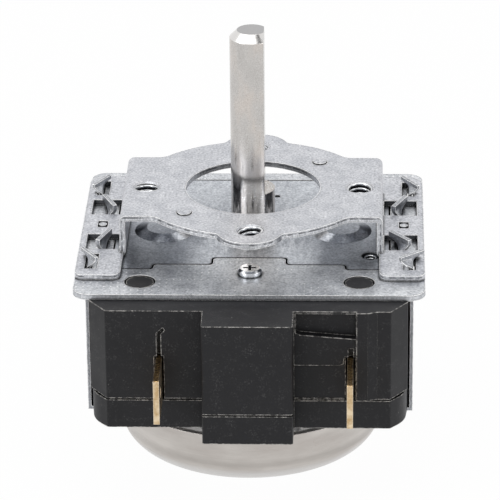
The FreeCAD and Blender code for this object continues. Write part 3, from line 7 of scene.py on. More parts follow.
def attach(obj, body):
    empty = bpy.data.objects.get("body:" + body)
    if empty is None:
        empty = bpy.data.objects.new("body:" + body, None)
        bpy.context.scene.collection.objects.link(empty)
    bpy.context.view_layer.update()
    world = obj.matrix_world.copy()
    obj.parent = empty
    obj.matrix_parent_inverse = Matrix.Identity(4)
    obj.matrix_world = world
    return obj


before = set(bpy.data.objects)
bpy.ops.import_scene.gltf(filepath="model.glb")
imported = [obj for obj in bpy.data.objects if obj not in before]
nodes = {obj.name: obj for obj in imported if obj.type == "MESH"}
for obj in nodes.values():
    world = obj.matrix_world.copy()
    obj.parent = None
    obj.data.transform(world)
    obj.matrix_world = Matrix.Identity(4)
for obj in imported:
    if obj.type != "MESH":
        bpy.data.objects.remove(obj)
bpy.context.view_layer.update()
bpy.ops.object.select_all(action="DESELECT")
mm = 0.001
print("frame loaded")


# camera: a long lens, a little to the right and well above the part, in millimetres and degrees
cameraSettings = {
    "target": (0.0, 0.0, -7.88),
    "distance": 512.2,
    "elevation": 23.92,
    "turn": 1.95,
    "roll": 0.54,
    "lens": 267.8,
    "sensor": 36,
    "shift": (-0.00704, -0.02076),
    "clip": (10, 20000),
}


def placeCamera(view):
    rise, turn = math.radians(view["elevation"]), math.radians(view["turn"])
    level = math.cos(rise)
    back = Vector((math.sin(turn) * level, -math.cos(turn) * level, math.sin(rise)))
    target = Vector(view["target"]) * mm
    bpy.ops.object.camera_add(location=target + back * view["distance"] * mm)
    item = bpy.context.object
    item.name = "photoCamera"
    item.rotation_mode = "QUATERNION"
    look = (-back).to_track_quat("-Z", "Y")
    item.rotation_quaternion = look @ Quaternion((0, 0, 1), -math.radians(view["roll"]))
    item.data.sensor_width = view["sensor"]
    item.data.lens = view["lens"]
    item.data.shift_x, item.data.shift_y = view["shift"]
    item.data.clip_start, item.data.clip_end = [length * mm for length in view["clip"]]
    bpy.context.scene.camera = item


placeCamera(cameraSettings)
print("camera placed")


# small tools for materials
def hexColour(text):
    parts = [int(text[k:k + 2], 16) / 255 for k in (1, 3, 5)]
    linear = [c / 12.92 if c <= 0.04045 else ((c + 0.055) / 1.055) ** 2.4 for c in parts]
    return (*linear, 1.0)


def addNode(tree, kind, settings=None, links=None):
    node = tree.nodes.new(kind)
    for name, value in (settings or {}).items():
        if isinstance(name, int) or name in node.inputs:
            node.inputs[name].default_value = value
        else:
            setattr(node, name, value)
    for name, source in (links or {}).items():
        tree.links.new(source, node.inputs[name])
    return node


def newMaterial(name):
    item = bpy.data.materials.new(name)
    item.use_nodes = True
    item.node_tree.nodes.clear()
    return item, item.node_tree


def showSurface(tree, shader):
    addNode(tree, "ShaderNodeOutputMaterial", links={"Surface": shader})


def ramp(tree, source, stops):
    node = addNode(tree, "ShaderNodeValToRGB", links={"Fac": source})
    marks = node.color_ramp.elements
    while len(marks) < len(stops):
        marks.new(0.5)
    for mark, (place, colour) in zip(marks, stops):
        mark.position = place
        mark.color = hexColour(colour)
    return node.outputs["Color"]


def toneRamp(tree, source, low, high, tones):
    # the tones spread evenly from low to high
    step = (high - low) / (len(tones) - 1)
    return ramp(tree, source, [(low + k * step, tone) for k, tone in enumerate(tones)])


def span(tree, source, low, high, toLow=0.0, toHigh=1.0):
    # a range of one value made the range of another, held at both ends
    node = addNode(tree, "ShaderNodeMapRange", {"From Min": low, "From Max": high, "To Min": toLow,
                                                "To Max": toHigh}, {"Value": source})
    return node.outputs["Result"]


def blendColour(tree, share, first, second):
    node = addNode(tree, "ShaderNodeMix", {"data_type": "RGBA"}, {0: share})
    for place, value in ((6, first), (7, second)):
        if isinstance(value, str):
            node.inputs[place].default_value = hexColour(value)
        else:
            tree.links.new(value, node.inputs[place])
    return node.outputs[2]


def maths(tree, operation, first, second=0.0):
    # one sum of two values, each a number or a socket
    node = addNode(tree, "ShaderNodeMath", {"operation": operation})
    for place, value in enumerate((first, second)):
        if isinstance(value, (int, float)):
            node.inputs[place].default_value = value
        else:
            tree.links.new(value, node.inputs[place])
    return node.outputs["Value"]


def times(tree, first, second):
    return maths(tree, "MULTIPLY", first, second)


def unsigned(tree, value):
    # the value without its sign
    return maths(tree, "ABSOLUTE", value)


def grain(tree, sizeMm, detail, stretch=(1, 1, 1)):
    # noise whose lumps are about sizeMm across on the real object
    place = addNode(tree, "ShaderNodeTexCoord")
    mapping = addNode(tree, "ShaderNodeMapping", {"Scale": stretch},
                      {"Vector": place.outputs["Object"]})
    noise = addNode(tree, "ShaderNodeTexNoise",
                    {"Scale": 1 / (sizeMm * mm), "Detail": detail, "Roughness": 0.6},
                    {"Vector": mapping.outputs["Vector"]})
    return noise.outputs["Fac"]


def faceDirection(tree):
    # the face's own direction: side, depth and height
    geometry = addNode(tree, "ShaderNodeNewGeometry")
    parts = addNode(tree, "ShaderNodeSeparateXYZ",
                    links={"Vector": geometry.outputs["True Normal"]})
    return parts.outputs["X"], parts.outputs["Y"], parts.outputs["Z"]


def placeMm(tree):
    # where a point lies on the part, in millimetres
    place = addNode(tree, "ShaderNodeTexCoord")
    scaled = addNode(tree, "ShaderNodeVectorMath", {"operation": "SCALE", "Scale": 1 / mm},
                     {0: place.outputs["Object"]})
    parts = addNode(tree, "ShaderNodeSeparateXYZ", links={"Vector": scaled.outputs["Vector"]})
    return parts.outputs["X"], parts.outputs["Y"], parts.outputs["Z"]


def farFrom(tree, place, x, y):
    # distance from an upright line
    side = maths(tree, "POWER", maths(tree, "SUBTRACT", place[0], x), 2.0)
    depth = maths(tree, "POWER", maths(tree, "SUBTRACT", place[1], y), 2.0)
    return maths(tree, "SQRT", maths(tree, "ADD", side, depth))


def lineAt(tree, value, level, inner, outer):
    # 1 on a thin line where the value is at the level, fading from inner to outer on both sides
    gap = unsigned(tree, maths(tree, "SUBTRACT", value, level))
    return span(tree, gap, inner, outer, 1.0, 0.0)


def sharpEdges(tree, radiusMm, samples=6):
    # 1 on sharp edges, 0 on open faces
    geometry = addNode(tree, "ShaderNodeNewGeometry")
    soft = addNode(tree, "ShaderNodeBevel", {"samples": samples, "Radius": radiusMm * mm})
    dot = addNode(tree, "ShaderNodeVectorMath", {"operation": "DOT_PRODUCT"},
                  {0: soft.outputs["Normal"], 1: geometry.outputs["Normal"]})
    return span(tree, dot.outputs["Value"], 0.995, 0.80)


def closedCorners(tree, reachMm, low=0.52, high=0.90):
    # 1 deep in a corner or crack, 0 in the open
    cover = addNode(tree, "ShaderNodeAmbientOcclusion", {"samples": 8, "Distance": reachMm * mm})
    return span(tree, cover.outputs["AO"], low, high, 1.0, 0.0)


def rimWearAndHighlights(tree, rimMm, shown, breakMm, detail, kept):
    # sharp edges in broken lengths, and none down in the corners
    edges = span(tree, sharpEdges(tree, rimMm), *shown)
    broken = times(tree, edges, span(tree, grain(tree, breakMm, detail), *kept))
    bare = span(tree, closedCorners(tree, 0.35, 0.45, 0.70), 0.0, 1.0, 1.0, 0.0)
    return times(tree, broken, bare)


def curvedScratches(tree, sizeMm, share):
    # thin bent lines, kept in a few places only
    place = addNode(tree, "ShaderNodeTexCoord")
    bend = addNode(tree, "ShaderNodeTexNoise", {"Scale": 0.5 / (sizeMm * mm), "Detail": 1.0},
                   {"Vector": place.outputs["Object"]})
    bent = addNode(tree, "ShaderNodeVectorMath", {"operation": "SCALE", "Scale": sizeMm * mm * 1.2},
                   {0: bend.outputs["Color"]})
    moved = addNode(tree, "ShaderNodeVectorMath", {"operation": "ADD"},
                    {0: place.outputs["Object"], 1: bent.outputs["Vector"]})
    cells = addNode(tree, "ShaderNodeTexVoronoi",
                    {"feature": "DISTANCE_TO_EDGE", "Scale": 1 / (sizeMm * mm)},
                    {"Vector": moved.outputs["Vector"]})
    line = span(tree, cells.outputs["Distance"], 0.012, 0.028, 1.0, 0.0)
    kept = span(tree, grain(tree, sizeMm * 0.45, 1), 1 - share, 1 - share + 0.04)
    return times(tree, line, kept)


def finishMetal(tree, colour, rough, bump, bumpMm, softMm, form=None):
    shader = addNode(tree, "ShaderNodeBsdfPrincipled", {"Metallic": 1.0},
                     {"Base Color": colour, "Roughness": rough})
    if form:
        # a rounder form than the solid's, its height given in millimetres
        under = addNode(tree, "ShaderNodeBump", {"Strength": 1.0, "Distance": mm}, {"Height": form})
    else:
        under = addNode(tree, "ShaderNodeBevel", {"samples": 4, "Radius": softMm * mm})
    relief = addNode(tree, "ShaderNodeBump", {"Strength": 0.35, "Distance": bumpMm * mm},
                     {"Height": bump, "Normal": under.outputs["Normal"]})
    tree.links.new(relief.outputs["Normal"], shader.inputs["Normal"])
    showSurface(tree, shader.outputs["BSDF"])


# Zinc-plated steel sheet, rolled and stamped: a cool grey skin that is dull and a little blotched,
# with fine dark and bright specks, sheared edges that are darker, a painted highlight along the
# rims with a thin line of painted shade beside it, and painted shade in the corners.
zincSkin = {
    "cloudMm": 2.6,
    "speckMm": 0.30,
    "fleckMm": 0.17,
    "tearMm": 0.28,
    "rimMm": 0.24,
    "rimBreakMm": 0.7,
    "rimLineMm": 0.42,
    "cornerMm": 0.6,
    "softMm": 0.10,
    "reliefMm": 0.014,
    "darkSpeck": "#6E7178",
    "paleSpeck": "#EFF0F2",
    "brightFleck": "#FAFAFB",
    # painted shade on walls that lie in shade
    "shadedWall": "#2B2C2F",
    # painted shade: the thin dark line beside the rims
    "rimLine": "#3E4044",
    "shearLine": "#4A4C50",
    # painted shade in corners and cracks
    "corner": "#141517",
    "cutRoughness": 0.15,
}


def zincPlatedSheet(values, pattern=None, walls=None, cutLine=None, form=None):
    item, tree = newMaterial(values["name"])
    cloud = grain(tree, zincSkin["cloudMm"], 4)
    speck = grain(tree, zincSkin["speckMm"], 3)
    fleck = grain(tree, zincSkin["fleckMm"], 1)
    side, _, height = faceDirection(tree)
    base = toneRamp(tree, cloud, 0.34, 0.66, values["tones"])
    base = blendColour(tree, span(tree, speck, 0.50, 0.68, 0.0, 0.55), base, zincSkin["darkSpeck"])
    base = blendColour(tree, span(tree, speck, 0.46, 0.30, 0.0, 0.60), base, zincSkin["paleSpeck"])
    base = blendColour(tree, span(tree, fleck, 0.70, 0.76, 0.0, 0.7), base, zincSkin["brightFleck"])
    if pattern:
        base = pattern(tree, base)
    # sheared edges: rough and darker, in short upright streaks
    upright = span(tree, unsigned(tree, height), 0.35, 0.15)
    if values["folded"]:
        # the sideways faces of folded sheet are the sheet's own skin
        upright = times(tree, upright, span(tree, unsigned(tree, side), 0.75, 0.90, 1.0, 0.0))
    tear = grain(tree, zincSkin["tearMm"], 3, (1, 1, 0.6))
    tornSkin = toneRamp(tree, tear, 0.34, 0.66, values["torn"])
    base = blendColour(tree, times(tree, upright, values["tornShare"]), base, tornSkin)
    # painted shade on the walls that lie in shade
    if walls:
        base = blendColour(tree, times(tree, upright, walls(tree)), base, zincSkin["shadedWall"])
    # painted highlights along the rims in broken lengths, a thin line of painted shade beside them,
    # and painted shade in the corners
    beside = sharpEdges(tree, zincSkin["rimLineMm"], 4)
    # painted shade: a thin dark line beside the rims
    shade = span(tree, beside, 0.03, 0.30, 0.0, values["rimLineShare"])
    base = blendColour(tree, shade, base, zincSkin["rimLine"])
    if cutLine:
        base = blendColour(tree, times(tree, upright, cutLine(tree)), base, zincSkin["shearLine"])
    # painted shade in the corners
    corner = times(tree, closedCorners(tree, zincSkin["cornerMm"]), 0.9)
    base = blendColour(tree, corner, base, zincSkin["corner"])
    # painted highlight along the sharp rims, in broken lengths
    rimHighlightMask = rimWearAndHighlights(tree, zincSkin["rimMm"], (0.12, 0.42), zincSkin["rimBreakMm"], 3,
                    (0.34, 0.50, 0.45, 1.0))
    base = blendColour(tree, times(tree, rimHighlightMask, values["rimShare"]), base, values["rim"])
    roughness = maths(tree, "ADD", span(tree, cloud, 0.3, 0.7, *values["roughness"]),
                      times(tree, upright, zincSkin["cutRoughness"]))
    finishMetal(tree, base, roughness, speck, zincSkin["reliefMm"], zincSkin["softMm"],
                form(tree) if form else None)
    return item


# where the bracket's own features lie, in millimetres; pairs are the start and end of a fade
bracketPlaces = {
    "ringHole": (9.5, 9.3),
    "screwHoles": ((14.6, 0.0), (-14.6, 0.0), (0.0, 14.6), (0.0, -14.6)),
    "screwHole": (1.72, 1.68),
    "pipHoles": ((9.02, 8.905), (-9.02, -8.905)),
    "pipHole": (1.12, 1.08),
    "windowInner": (17.95, 18.0),
    "windowOuter": (22.7, 22.6),
    "windowEnd": (16.0, 15.8),
    "ringShear": -0.30,
    "footShear": -5.60,
    "legShear": 17.42,
    "legTop": (-0.75, -0.70),
}


# the line on the bracket's cut edges where the clean shear ends and the rough break starts
def bracketCutLine(tree):
    x, _, z = placeMm(tree)
    depth = faceDirection(tree)[1]
    onRing = lineAt(tree, z, bracketPlaces["ringShear"], 0.07, 0.12)
    onFoot = lineAt(tree, z, bracketPlaces["footShear"], 0.07, 0.12)
    onLeg = lineAt(tree, unsigned(tree, x), bracketPlaces["legShear"], 0.06, 0.11)
    onLeg = times(tree, onLeg, span(tree, unsigned(tree, depth), 0.7, 0.8))
    onLeg = times(tree, onLeg, span(tree, z, *bracketPlaces["legTop"], 1.0, 0.0))
    line = maths(tree, "MAXIMUM", maths(tree, "MAXIMUM", onRing, onFoot), onLeg)
    return times(tree, line, span(tree, grain(tree, 0.9, 2), 0.40, 0.52, 0.15, 0.85))


# where the bracket's walls lie in shade: the ring's hole, the feet's windows, screw and pip holes
def bracketWalls(tree):
    place = placeMm(tree)
    sideways, lengthways = unsigned(tree, place[0]), unsigned(tree, place[1])
    inFoot = times(tree, span(tree, sideways, *bracketPlaces["windowInner"]),
                   span(tree, sideways, *bracketPlaces["windowOuter"]))
    inFoot = times(tree, inFoot, span(tree, lengthways, *bracketPlaces["windowEnd"], 0.0, 0.8))
    inRing = span(tree, farFrom(tree, place, 0.0, 0.0), *bracketPlaces["ringHole"], 0.0, 0.55)
    walls = maths(tree, "MAXIMUM", inRing, inFoot)
    for holes, edge, share in (("screwHoles", "screwHole", 1.0), ("pipHoles", "pipHole", 0.9)):
        for x, y in bracketPlaces[holes]:
            inHole = span(tree, farFrom(tree, place, x, y), *bracketPlaces[edge], 0.0, share)
            walls = maths(tree, "MAXIMUM", walls, inHole)
    return walls


# the raised bosses of the movement plate: rounder at their feet than a plain cone
bosses = {
    "places": ((12.1, -0.9), (-12.1, -0.9)),
    "top": 2.5,
    "foot": 4.15,
    "tall": 1.25,
}


def bossSwell(tree):
    place = placeMm(tree)
    heights = []
    for x, y in bosses["places"]:
        away = farFrom(tree, place, x, y)
        heights.append(span(tree, away, bosses["top"], bosses["foot"], 0.0, -bosses["tall"]))
    return maths(tree, "ADD", *heights)


# the movement plate: faint upright ripples from rolling, clear inside the ring and weak outside it
rolling = {
    "waveMm": 0.45,
    "ringMm": (8.0, 10.5),
    "shares": (0.5, 0.12),
    "dark": "#7C8086",
    "bright": "#E4E6E9",
}


def ripples(tree, base):
    wave = grain(tree, rolling["waveMm"], 2, (1.0, 0.22, 1.0))
    away = farFrom(tree, placeMm(tree), 0.0, 0.0)
    share = span(tree, away, *rolling["ringMm"], *rolling["shares"])
    dark = times(tree, span(tree, wave, 0.52, 0.66), share)
    bright = times(tree, span(tree, wave, 0.48, 0.36), share)
    base = blendColour(tree, dark, base, rolling["dark"])
    return blendColour(tree, bright, base, rolling["bright"])


# faint rows of bright dots on the plate, left by the roller
rollerDots = {
    "pitchMm": 0.92,
    "patchMm": 4.0,
    "share": 0.75,
    "colour": "#FFFFFF",
}


def dotRows(tree, base):
    place = addNode(tree, "ShaderNodeTexCoord")
    mapping = addNode(tree, "ShaderNodeMapping", {"Scale": (1.0, 0.8, 0.0)},
                      {"Vector": place.outputs["Object"]})
    cells = addNode(tree, "ShaderNodeTexVoronoi",
                    {"Scale": 1 / (rollerDots["pitchMm"] * mm), "Randomness": 0.0},
                    {"Vector": mapping.outputs["Vector"]})
    dots = span(tree, cells.outputs["Distance"], 0.10, 0.16, 1.0, 0.0)
    patch = span(tree, grain(tree, rollerDots["patchMm"], 1), 0.46, 0.56, 0.0, rollerDots["share"])
    return blendColour(tree, times(tree, dots, patch), base, rollerDots["colour"])


# Nickel-plated steel bar, tumbled and polished: a warm grey with a fine satin grain, smoother low
# down and darkened there with a painted brown shade.
spindleBar = {
    "name": "nickelPlatedSteel",
    "satinMm": 0.13,
    "cloudMm": 2.4,
    "lowShadeEdgeMm": 0.8,
    "spotMm": 0.24,
    "softMm": 0.12,
    "reliefMm": 0.004,
    "tones": ("#BAB7B4", "#C2BFBC", "#CAC3BD"),
    "paleSatin": "#E6E4E2",
    "darkSatin": "#8B8682",
    # painted shade: the brown darkening low down
    "lowShade": "#7A6F65",
    "lowShadeFrom": (1.6, -1.4),
    "lowShadeShare": 0.30,
    "spot": "#FFFFFF",
    # painted highlight on the chamfer
    "chamfer": "#DCDAD8",
    "sawnEnd": "#A2A2A4",
    "endFrom": (22.7, 22.9),
    "polishedTo": (-1.5, 6.0),
    "roughness": (0.11, 0.20),
}


def nickelPlatedBar(values):
    item, tree = newMaterial(values["name"])
    satin = grain(tree, values["satinMm"], 2)
    cloud = grain(tree, values["cloudMm"], 3, (1, 1, 0.35))
    height = placeMm(tree)[2]
    base = toneRamp(tree, cloud, 0.32, 0.68, values["tones"])
    base = blendColour(tree, span(tree, satin, 0.46, 0.30, 0.0, 0.45), base, values["paleSatin"])
    base = blendColour(tree, span(tree, satin, 0.54, 0.70, 0.0, 0.40), base, values["darkSatin"])
    # painted brown shade on the lower part, with bright specks where it starts
    ragged = span(tree, grain(tree, values["lowShadeEdgeMm"], 3), 0.3, 0.7, -1.6, 1.6)
    edge = maths(tree, "ADD", height, ragged)
    lowShade = span(tree, edge, *values["lowShadeFrom"], 0.0, values["lowShadeShare"])
    base = blendColour(tree, lowShade, base, values["lowShade"])
    near = times(tree, span(tree, height, -2.4, -0.6), span(tree, height, 2.2, 0.6))
    spots = times(tree, near, span(tree, grain(tree, values["spotMm"], 1), 0.66, 0.70, 0.0, 0.9))
    base = blendColour(tree, spots, base, values["spot"])
    # painted highlight on the chamfer, and the sawn end duller
    tilt = faceDirection(tree)[2]
    chamfer = times(tree, span(tree, tilt, 0.4, 0.5), span(tree, tilt, 0.9, 0.8))
    base = blendColour(tree, chamfer, base, values["chamfer"])
    sawn = times(tree, span(tree, height, *values["endFrom"]), span(tree, tilt, 0.9, 0.95))
    base = blendColour(tree, times(tree, sawn, 0.8), base, values["sawnEnd"])
    roughness = span(tree, height, *values["polishedTo"], *values["roughness"])
    finishMetal(tree, base, roughness, satin, values["reliefMm"], values["softMm"])
    return item


# Phenolic moulding: black, matt, with fine flow marks, pale dust, bent hair scratches, scuffed and
# dusty edges that also carry a painted highlight, a line of painted shade beside the edges and
# painted shade in the corners.
housingSkin = {
    "name": "phenolicMoulding",
    "flowMm": 5.0,
    "fineMm": 0.16,
    "dustMm": 0.22,
    "patchMm": 1.6,
    "scratchMm": 4.2,
    "scratchShare": 0.20,
    "scuffMm": 0.22,
    "scuffBreakMm": 0.45,
    "rimLineMm": 0.42,
    "cornerMm": 0.6,
    "softMm": 0.16,
    "reliefMm": 0.03,
    "tones": ("#0C0C10", "#141417"),
    "haze": "#6B6A6A",
    "dust": "#B5B3B0",
    "scratch": "#8F8D8B",
    # painted shade: the dark line beside the edges, and in the corners
    "rimLine": "#030304",
    "corner": "#010101",
    # scuffed, dusty edges that also carry a painted highlight
    "scuffAndHighlight": "#C8C5C1",
    "ior": 1.5,
    "gloss": 0.30,
    "roughness": (0.42, 0.56),
}


def phenolicMoulding(values):
    item, tree = newMaterial(values["name"])
    flow = grain(tree, values["flowMm"], 4)
    fine = grain(tree, values["fineMm"], 2)
    dust = grain(tree, values["dustMm"], 3)
    patch = grain(tree, values["patchMm"], 3)
    base = toneRamp(tree, flow, 0.3, 0.7, values["tones"])
    haze = times(tree, span(tree, dust, 0.50, 0.72, 0.0, 0.30), span(tree, patch, 0.48, 0.66, 0.10))
    base = blendColour(tree, haze, base, values["haze"])
    base = blendColour(tree, span(tree, dust, 0.745, 0.77, 0.0, 0.7), base, values["dust"])
    scratches = curvedScratches(tree, values["scratchMm"], values["scratchShare"])
    base = blendColour(tree, times(tree, scratches, 0.28), base, values["scratch"])
    # painted shade beside the edges and in the corners
    beside = sharpEdges(tree, values["rimLineMm"], 4)
    base = blendColour(tree, span(tree, beside, 0.02, 0.30, 0.0, 0.7), base, values["rimLine"])
    corner = times(tree, closedCorners(tree, values["cornerMm"]), 0.95)
    base = blendColour(tree, corner, base, values["corner"])
    # scuffed, dusty edges, and a painted highlight along them
    scuffsAndHighlights = rimWearAndHighlights(tree, values["scuffMm"], (0.10, 0.45), values["scuffBreakMm"], 4,
                      (0.42, 0.58, 0.10, 1.0))
    base = blendColour(tree, scuffsAndHighlights, base, values["scuffAndHighlight"])
    roughness = span(tree, flow, 0.3, 0.7, *values["roughness"])
    bevel = addNode(tree, "ShaderNodeBevel", {"samples": 4, "Radius": values["softMm"] * mm})
    bump = addNode(tree, "ShaderNodeBump", {"Strength": 0.30, "Distance": values["reliefMm"] * mm},
                   {"Height": fine, "Normal": bevel.outputs["Normal"]})
    shader = addNode(tree, "ShaderNodeBsdfPrincipled",
                     {"IOR": values["ior"], "Specular IOR Level": values["gloss"]},
                     {"Base Color": base, "Roughness": roughness, "Normal": bump.outputs["Normal"]})
    showSurface(tree, shader.outputs["BSDF"])
    return item


# Rolled brass or bronze strip, sheared: pale on the end faces and brown on the upper edges, the
# faces that look upward, with painted highlights on the rims and painted shade in the corners.
# the rim colour is a painted highlight along the edges
bladeStrip = {"name": "rolledBrass", "tones": ("#BFA37A", "#E0CDAE"), "rim": "#FBF3E4"}
wheelStrip = {"name": "stampedBrass", "tones": ("#A98A48", "#CDB06C"), "rim": "#DCC48A"}
leafStrip = {"name": "phosphorBronze", "tones": ("#A5774A", "#C79A6A"), "rim": "#DDB58C"}
brassSkin = {
    "tarnishMm": 0.9,
    "rollingMm": 0.12,
    "brownMm": 0.35,
    "rimMm": 0.14,
    "cornerMm": 0.5,
    "softMm": 0.12,
    "reliefMm": 0.004,
    "brown": ((0.36, "#4A3A28"), (0.52, "#8E7149"), (0.66, "#D9BC85")),
    # painted shade in corners and cracks
    "corner": "#1E140C",
    "roughness": (0.26, 0.40),
}


def rolledBrass(values):
    item, tree = newMaterial(values["name"])
    tarnish = grain(tree, brassSkin["tarnishMm"], 4)
    lines = grain(tree, brassSkin["rollingMm"], 2, (1, 0.1, 1))
    height = faceDirection(tree)[2]
    base = toneRamp(tree, tarnish, 0.36, 0.64, values["tones"])
    brown = ramp(tree, grain(tree, brassSkin["brownMm"], 4), brassSkin["brown"])
    base = blendColour(tree, span(tree, height, 0.55, 0.75, 0.0, 0.9), base, brown)
    # painted highlights on the rims and painted shade in the corners
    rims = times(tree, sharpEdges(tree, brassSkin["rimMm"]), 0.8)
    base = blendColour(tree, rims, base, values["rim"])
    corner = times(tree, closedCorners(tree, brassSkin["cornerMm"]), 0.7)
    base = blendColour(tree, corner, base, brassSkin["corner"])
    roughness = span(tree, tarnish, 0.3, 0.7, *brassSkin["roughness"])
    finishMetal(tree, base, roughness, lines, brassSkin["reliefMm"], brassSkin["softMm"])
    return item


# Stainless cup, spun and satin finished: warm grey with fine rings round its axis, a painted shade
# line at its rounded corner and a paler base that is a painted reflection of the floor.
bellCup = {
    "name": "spunStainless",
    "ringMm": 0.35,
    "cloudMm": 3.2,
    "softMm": 0.3,
    "reliefMm": 0.004,
    "tones": ("#B6B0AB", "#BEB9B4", "#C8C3BE"),
    "ring": "#938D88",
    # painted shade: the darker line at the rounded corner
    "corner": "#8A8580",
    "shadeLineLow": (-34.2, -33.6),
    "shadeLineHigh": (-32.4, -33.2),
    # painted reflection of the pale floor on the base
    "base": "#D6D6D6",
    "floorReflectionFrom": (-34.2, -35.2),
    "roughness": (0.26, 0.40),
}


def spunStainless(values):
    item, tree = newMaterial(values["name"])
    rings = grain(tree, values["ringMm"], 3, (0.03, 0.03, 1))
    cloud = grain(tree, values["cloudMm"], 4, (0.35, 0.35, 1))
    height = placeMm(tree)[2]
    base = toneRamp(tree, cloud, 0.34, 0.66, values["tones"])
    base = blendColour(tree, span(tree, rings, 0.58, 0.72, 0.0, 0.16), base, values["ring"])
    # painted shade line at the rounded corner
    corner = times(tree, span(tree, height, *values["shadeLineLow"]),
                   span(tree, height, *values["shadeLineHigh"]))
    base = blendColour(tree, times(tree, corner, 0.30), base, values["corner"])
    # paler base: a painted reflection of the floor
    low = span(tree, height, *values["floorReflectionFrom"], 0.0, 0.55)
    base = blendColour(tree, low, base, values["base"])
    roughness = span(tree, rings, 0.3, 0.7, *values["roughness"])
    finishMetal(tree, base, roughness, rings, values["reliefMm"], values["softMm"])
    return item


# Plain hardware: steel or silver, bright, with painted highlights on the rims and painted shade
# in the cracks.
hardware = {
    "name": "zincPlatedHardware",
    "tones": ("#C2C4C7", "#E4E5E7"),
    "roughness": (0.10, 0.22),
}
rivetTip = {
    "name": "silverContact",
    "tones": ("#C4C2BC", "#DAD9D5"),
    "roughness": (0.3, 0.45),
}
springStrip = {
    "name": "bluedSpringSteel",
    "tones": ("#34363E", "#4A4C55"),
    "roughness": (0.25, 0.4),
}
arborRod = {
    "name": "polishedArborSteel",
    "tones": ("#8E9092", "#A9AAAC"),
    "roughness": (0.15, 0.3),
}
steelSkin = {
    "cloudMm": 0.8,
    "rimMm": 0.12,
    "cornerMm": 0.5,
    "softMm": 0.06,
    "reliefMm": 0.006,
    # painted highlight on the rims
    "rim": "#FFFFFF",
    # painted shade in corners and cracks
    "corner": "#101113",
}


def plainSteel(values):
    item, tree = newMaterial(values["name"])
    cloud = grain(tree, steelSkin["cloudMm"], 3)
    base = toneRamp(tree, cloud, 0.35, 0.65, values["tones"])
    # painted highlights on the rims and painted shade in the corners
    rims = times(tree, sharpEdges(tree, steelSkin["rimMm"]), 0.8)
    base = blendColour(tree, rims, base, steelSkin["rim"])
    corner = times(tree, closedCorners(tree, steelSkin["cornerMm"]), 0.9)
    base = blendColour(tree, corner, base, steelSkin["corner"])
    roughness = span(tree, cloud, 0.3, 0.7, *values["roughness"])
    finishMetal(tree, base, roughness, cloud, steelSkin["reliefMm"], steelSkin["softMm"])
    return item


# Natural acetal moulding: off-white, smooth.
camSkin = {
    "name": "acetalMoulding",
    "cloudMm": 2.0,
    "tones": ("#D8D5CC", "#E4E1D8"),
    "ior": 1.48,
    "roughness": (0.35, 0.45),
}


def acetalMoulding(values):
    item, tree = newMaterial(values["name"])
    cloud = grain(tree, values["cloudMm"], 3)
    base = toneRamp(tree, cloud, 0.3, 0.7, values["tones"])
    roughness = span(tree, cloud, 0.3, 0.7, *values["roughness"])
    shader = addNode(tree, "ShaderNodeBsdfPrincipled", {"IOR": values["ior"]},
                     {"Base Color": base, "Roughness": roughness})
    showSurface(tree, shader.outputs["BSDF"])
    return item


# each sheet's own tones: the torn colours are those of its cut edges, from dark to light; the
# rim colour is the painted highlight along its edges
bracketSheet = {
    "name": "zincPlatedBracket",
    "tones": ("#B9BBC1", "#D1D2D6"),
    "rim": "#FFFFFF",
    "rimShare": 1.0,
    "rimLineShare": 0.6,
    "roughness": (0.36, 0.52),
    "torn": ("#B4B6BA", "#D2D3D6", "#F4F5F6"),
    "tornShare": 0.8,
    "folded": True,
}
topSheet = {
    "name": "zincPlatedPlate",
    "tones": ("#BABDC2", "#DCDEE1"),
    "rim": "#FFFFFF",
    "rimShare": 1.0,
    "rimLineShare": 0.65,
    "roughness": (0.32, 0.46),
    "torn": ("#9C9EA2", "#B6B8BC", "#D6D8DB"),
    "tornShare": 0.75,
    "folded": False,
}
frameSheet = {
    "name": "zincPlatedFrame",
    "tones": ("#9DA0A6", "#BDBFC3"),
    "rim": "#FFFFFF",
    "rimShare": 1.0,
    "rimLineShare": 0.75,
    "roughness": (0.30, 0.48),
    "torn": ("#7A7C80", "#9A9CA0", "#C4C6CA"),
    "tornShare": 0.55,
    "folded": True,
}
movementSheet = {
    "name": "zincPlatedMovement",
    "tones": ("#AFB3BA", "#CCD0D6"),
    "rim": "#E8EAED",
    "rimShare": 0.4,
    "rimLineShare": 0.8,
    "roughness": (0.27, 0.40),
    "torn": ("#56585C", "#6E7074", "#8E9094"),
    "tornShare": 0.7,
    "folded": False,
}

bracketZinc = zincPlatedSheet(bracketSheet, walls=bracketWalls, cutLine=bracketCutLine)
plateZinc = zincPlatedSheet(topSheet, pattern=dotRows)
frameZinc = zincPlatedSheet(frameSheet)
movementZinc = zincPlatedSheet(movementSheet, pattern=ripples, form=bossSwell)
spindleNickel = nickelPlatedBar(spindleBar)
housingPhenolic = phenolicMoulding(housingSkin)
bladeBrass = rolledBrass(bladeStrip)
wheelBrass = rolledBrass(wheelStrip)
leafBronze = rolledBrass(leafStrip)
bellStainless = spunStainless(bellCup)
screwSteel = plainSteel(hardware)
contactSilver = plainSteel(rivetTip)
springSteel = plainSteel(springStrip)
arborSteel = plainSteel(arborRod)
camAcetal = acetalMoulding(camSkin)
print("materials made")

